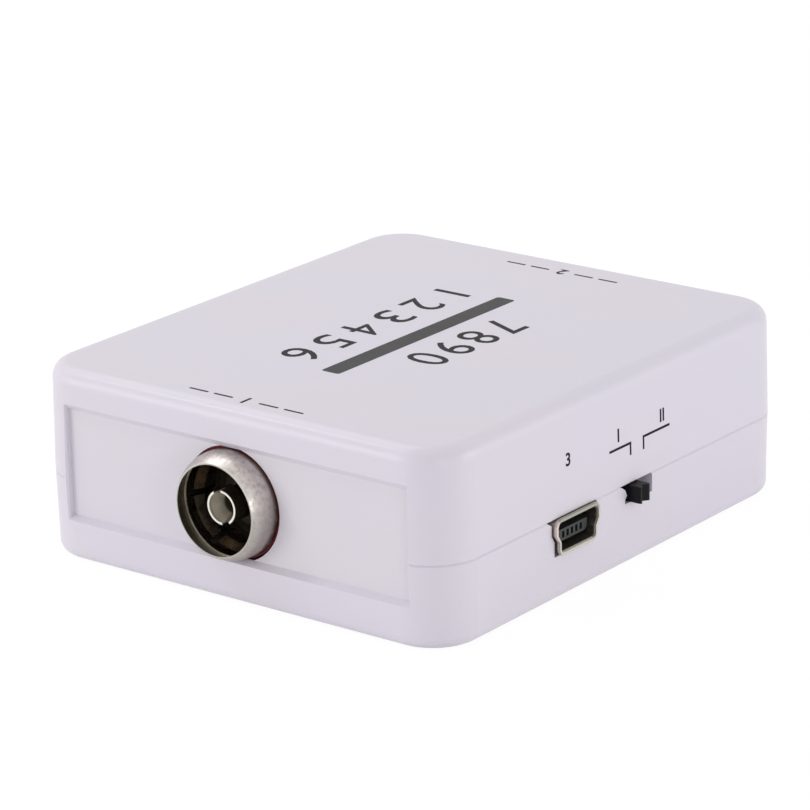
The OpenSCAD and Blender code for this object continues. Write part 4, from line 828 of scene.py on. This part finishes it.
def makeFloor():
    mesh = bpy.data.meshes.new("floor")
    half = floorLook["size"] / 2
    mesh.from_pydata([(-half, -half, 0), (half, -half, 0), (half, half, 0), (-half, half, 0)],
                     [], [(0, 1, 2, 3)])
    floor = addObject("floor", mesh)
    material = bpy.data.materials.new("floorPaper")
    material.use_nodes = True
    tree = material.node_tree
    tree.nodes.clear()
    plain = addNode(tree, "ShaderNodeBsdfDiffuse")
    plain.inputs["Color"].default_value = colour4(floorLook["colour"])
    glow = addNode(tree, "ShaderNodeEmission")
    glow.inputs["Color"].default_value = white
    glow.inputs["Strength"].default_value = floorLook["glow"]
    faint = addNode(tree, "ShaderNodeBsdfDiffuse")
    faint.inputs["Color"].default_value = colour4([floorLook["paper"]] * 3)
    shown = addNode(tree, "ShaderNodeAddShader")
    wire(tree, glow.outputs[0], shown.inputs[0])
    wire(tree, faint.outputs[0], shown.inputs[1])
    both = addNode(tree, "ShaderNodeMixShader")
    wire(tree, seenRays(tree), both.inputs[0])
    wire(tree, plain.outputs[0], both.inputs[1])
    wire(tree, shown.outputs[0], both.inputs[2])
    out = addNode(tree, "ShaderNodeOutputMaterial")
    wire(tree, both.outputs[0], out.inputs["Surface"])
    mesh.materials.append(material)


def makeWorld():
    world = bpy.data.worlds.new("studio")
    bpy.context.scene.world = world
    world.use_nodes = True
    tree = world.node_tree
    back = tree.nodes["Background"]
    back.inputs["Color"].default_value = white
    gain = mathNode(tree, "MULTIPLY", seenRays(tree), worldLook["seen"] - worldLook["room"])
    wire(tree, mathNode(tree, "ADD", gain, worldLook["room"]), back.inputs["Strength"])


# Places and sizes in metres, power in watts
lightLook = {
    "left": {"at": (-0.45, -0.6, 0.1), "size": 0.4, "power": 1.78},
    "right": {"at": (0.62, 0.35, 0.1), "size": 0.4, "power": 1.5},
    "front": {"at": (0.62, -0.34, 0.1), "size": 0.14, "power": 0.42},
    "above": {"at": (-0.36, 0.08, 0.6), "size": 0.36, "power": 0.86},
    "edge": {"at": (-0.41, -0.22, 0.52), "size": 0.08, "power": 0.34}}
lampTarget = Vector((0, 0, 0.011))


def makeLights():
    for name, look in lightLook.items():
        data = bpy.data.lights.new(name, "AREA")
        data.size = look["size"]
        data.energy = look["power"]
        lamp = addObject(name, data)
        lamp.location = look["at"]
        aim = lampTarget - Vector(look["at"])
        lamp.rotation_euler = aim.to_track_quat("-Z", "Y").to_euler()


# Angles in degrees, and lengths in mm, which the sensor and the lens are in as well
cameraLook = {"yaw": 38.06, "pitch": 18.58, "roll": -1.34, "lens": 177.46, "sensor": 36,
              "shiftRight": -1.551, "shiftUp": 12.595, "distance": 450.10, "clipStart": 10}


def makeCamera():
    yaw, pitch, roll = (math.radians(cameraLook[k]) for k in ("yaw", "pitch", "roll"))
    right = Vector((math.cos(yaw), math.sin(yaw), 0))
    back = Vector((math.sin(yaw) * math.cos(pitch), -math.cos(yaw) * math.cos(pitch),
                   math.sin(pitch)))
    up = back.cross(right)
    rolledRight = right * math.cos(roll) + up * math.sin(roll)
    rolledUp = up * math.cos(roll) - right * math.sin(roll)
    eye = (back * cameraLook["distance"] + rolledRight * cameraLook["shiftRight"]
           + rolledUp * cameraLook["shiftUp"]) * mm
    data = bpy.data.cameras.new("camera")
    data.lens = cameraLook["lens"]
    data.sensor_width = cameraLook["sensor"]
    data.clip_start = cameraLook["clipStart"] * mm
    camera = addObject("camera", data)
    camera.matrix_world = Matrix.Translation(eye) @ Matrix(
        (rolledRight, rolledUp, back)).transposed().to_4x4()
    bpy.context.scene.camera = camera


makeFloor()
makeWorld()
makeLights()
makeCamera()
bpy.context.scene.view_settings.view_transform = "Standard"
print("floor, room, lamps and camera made")
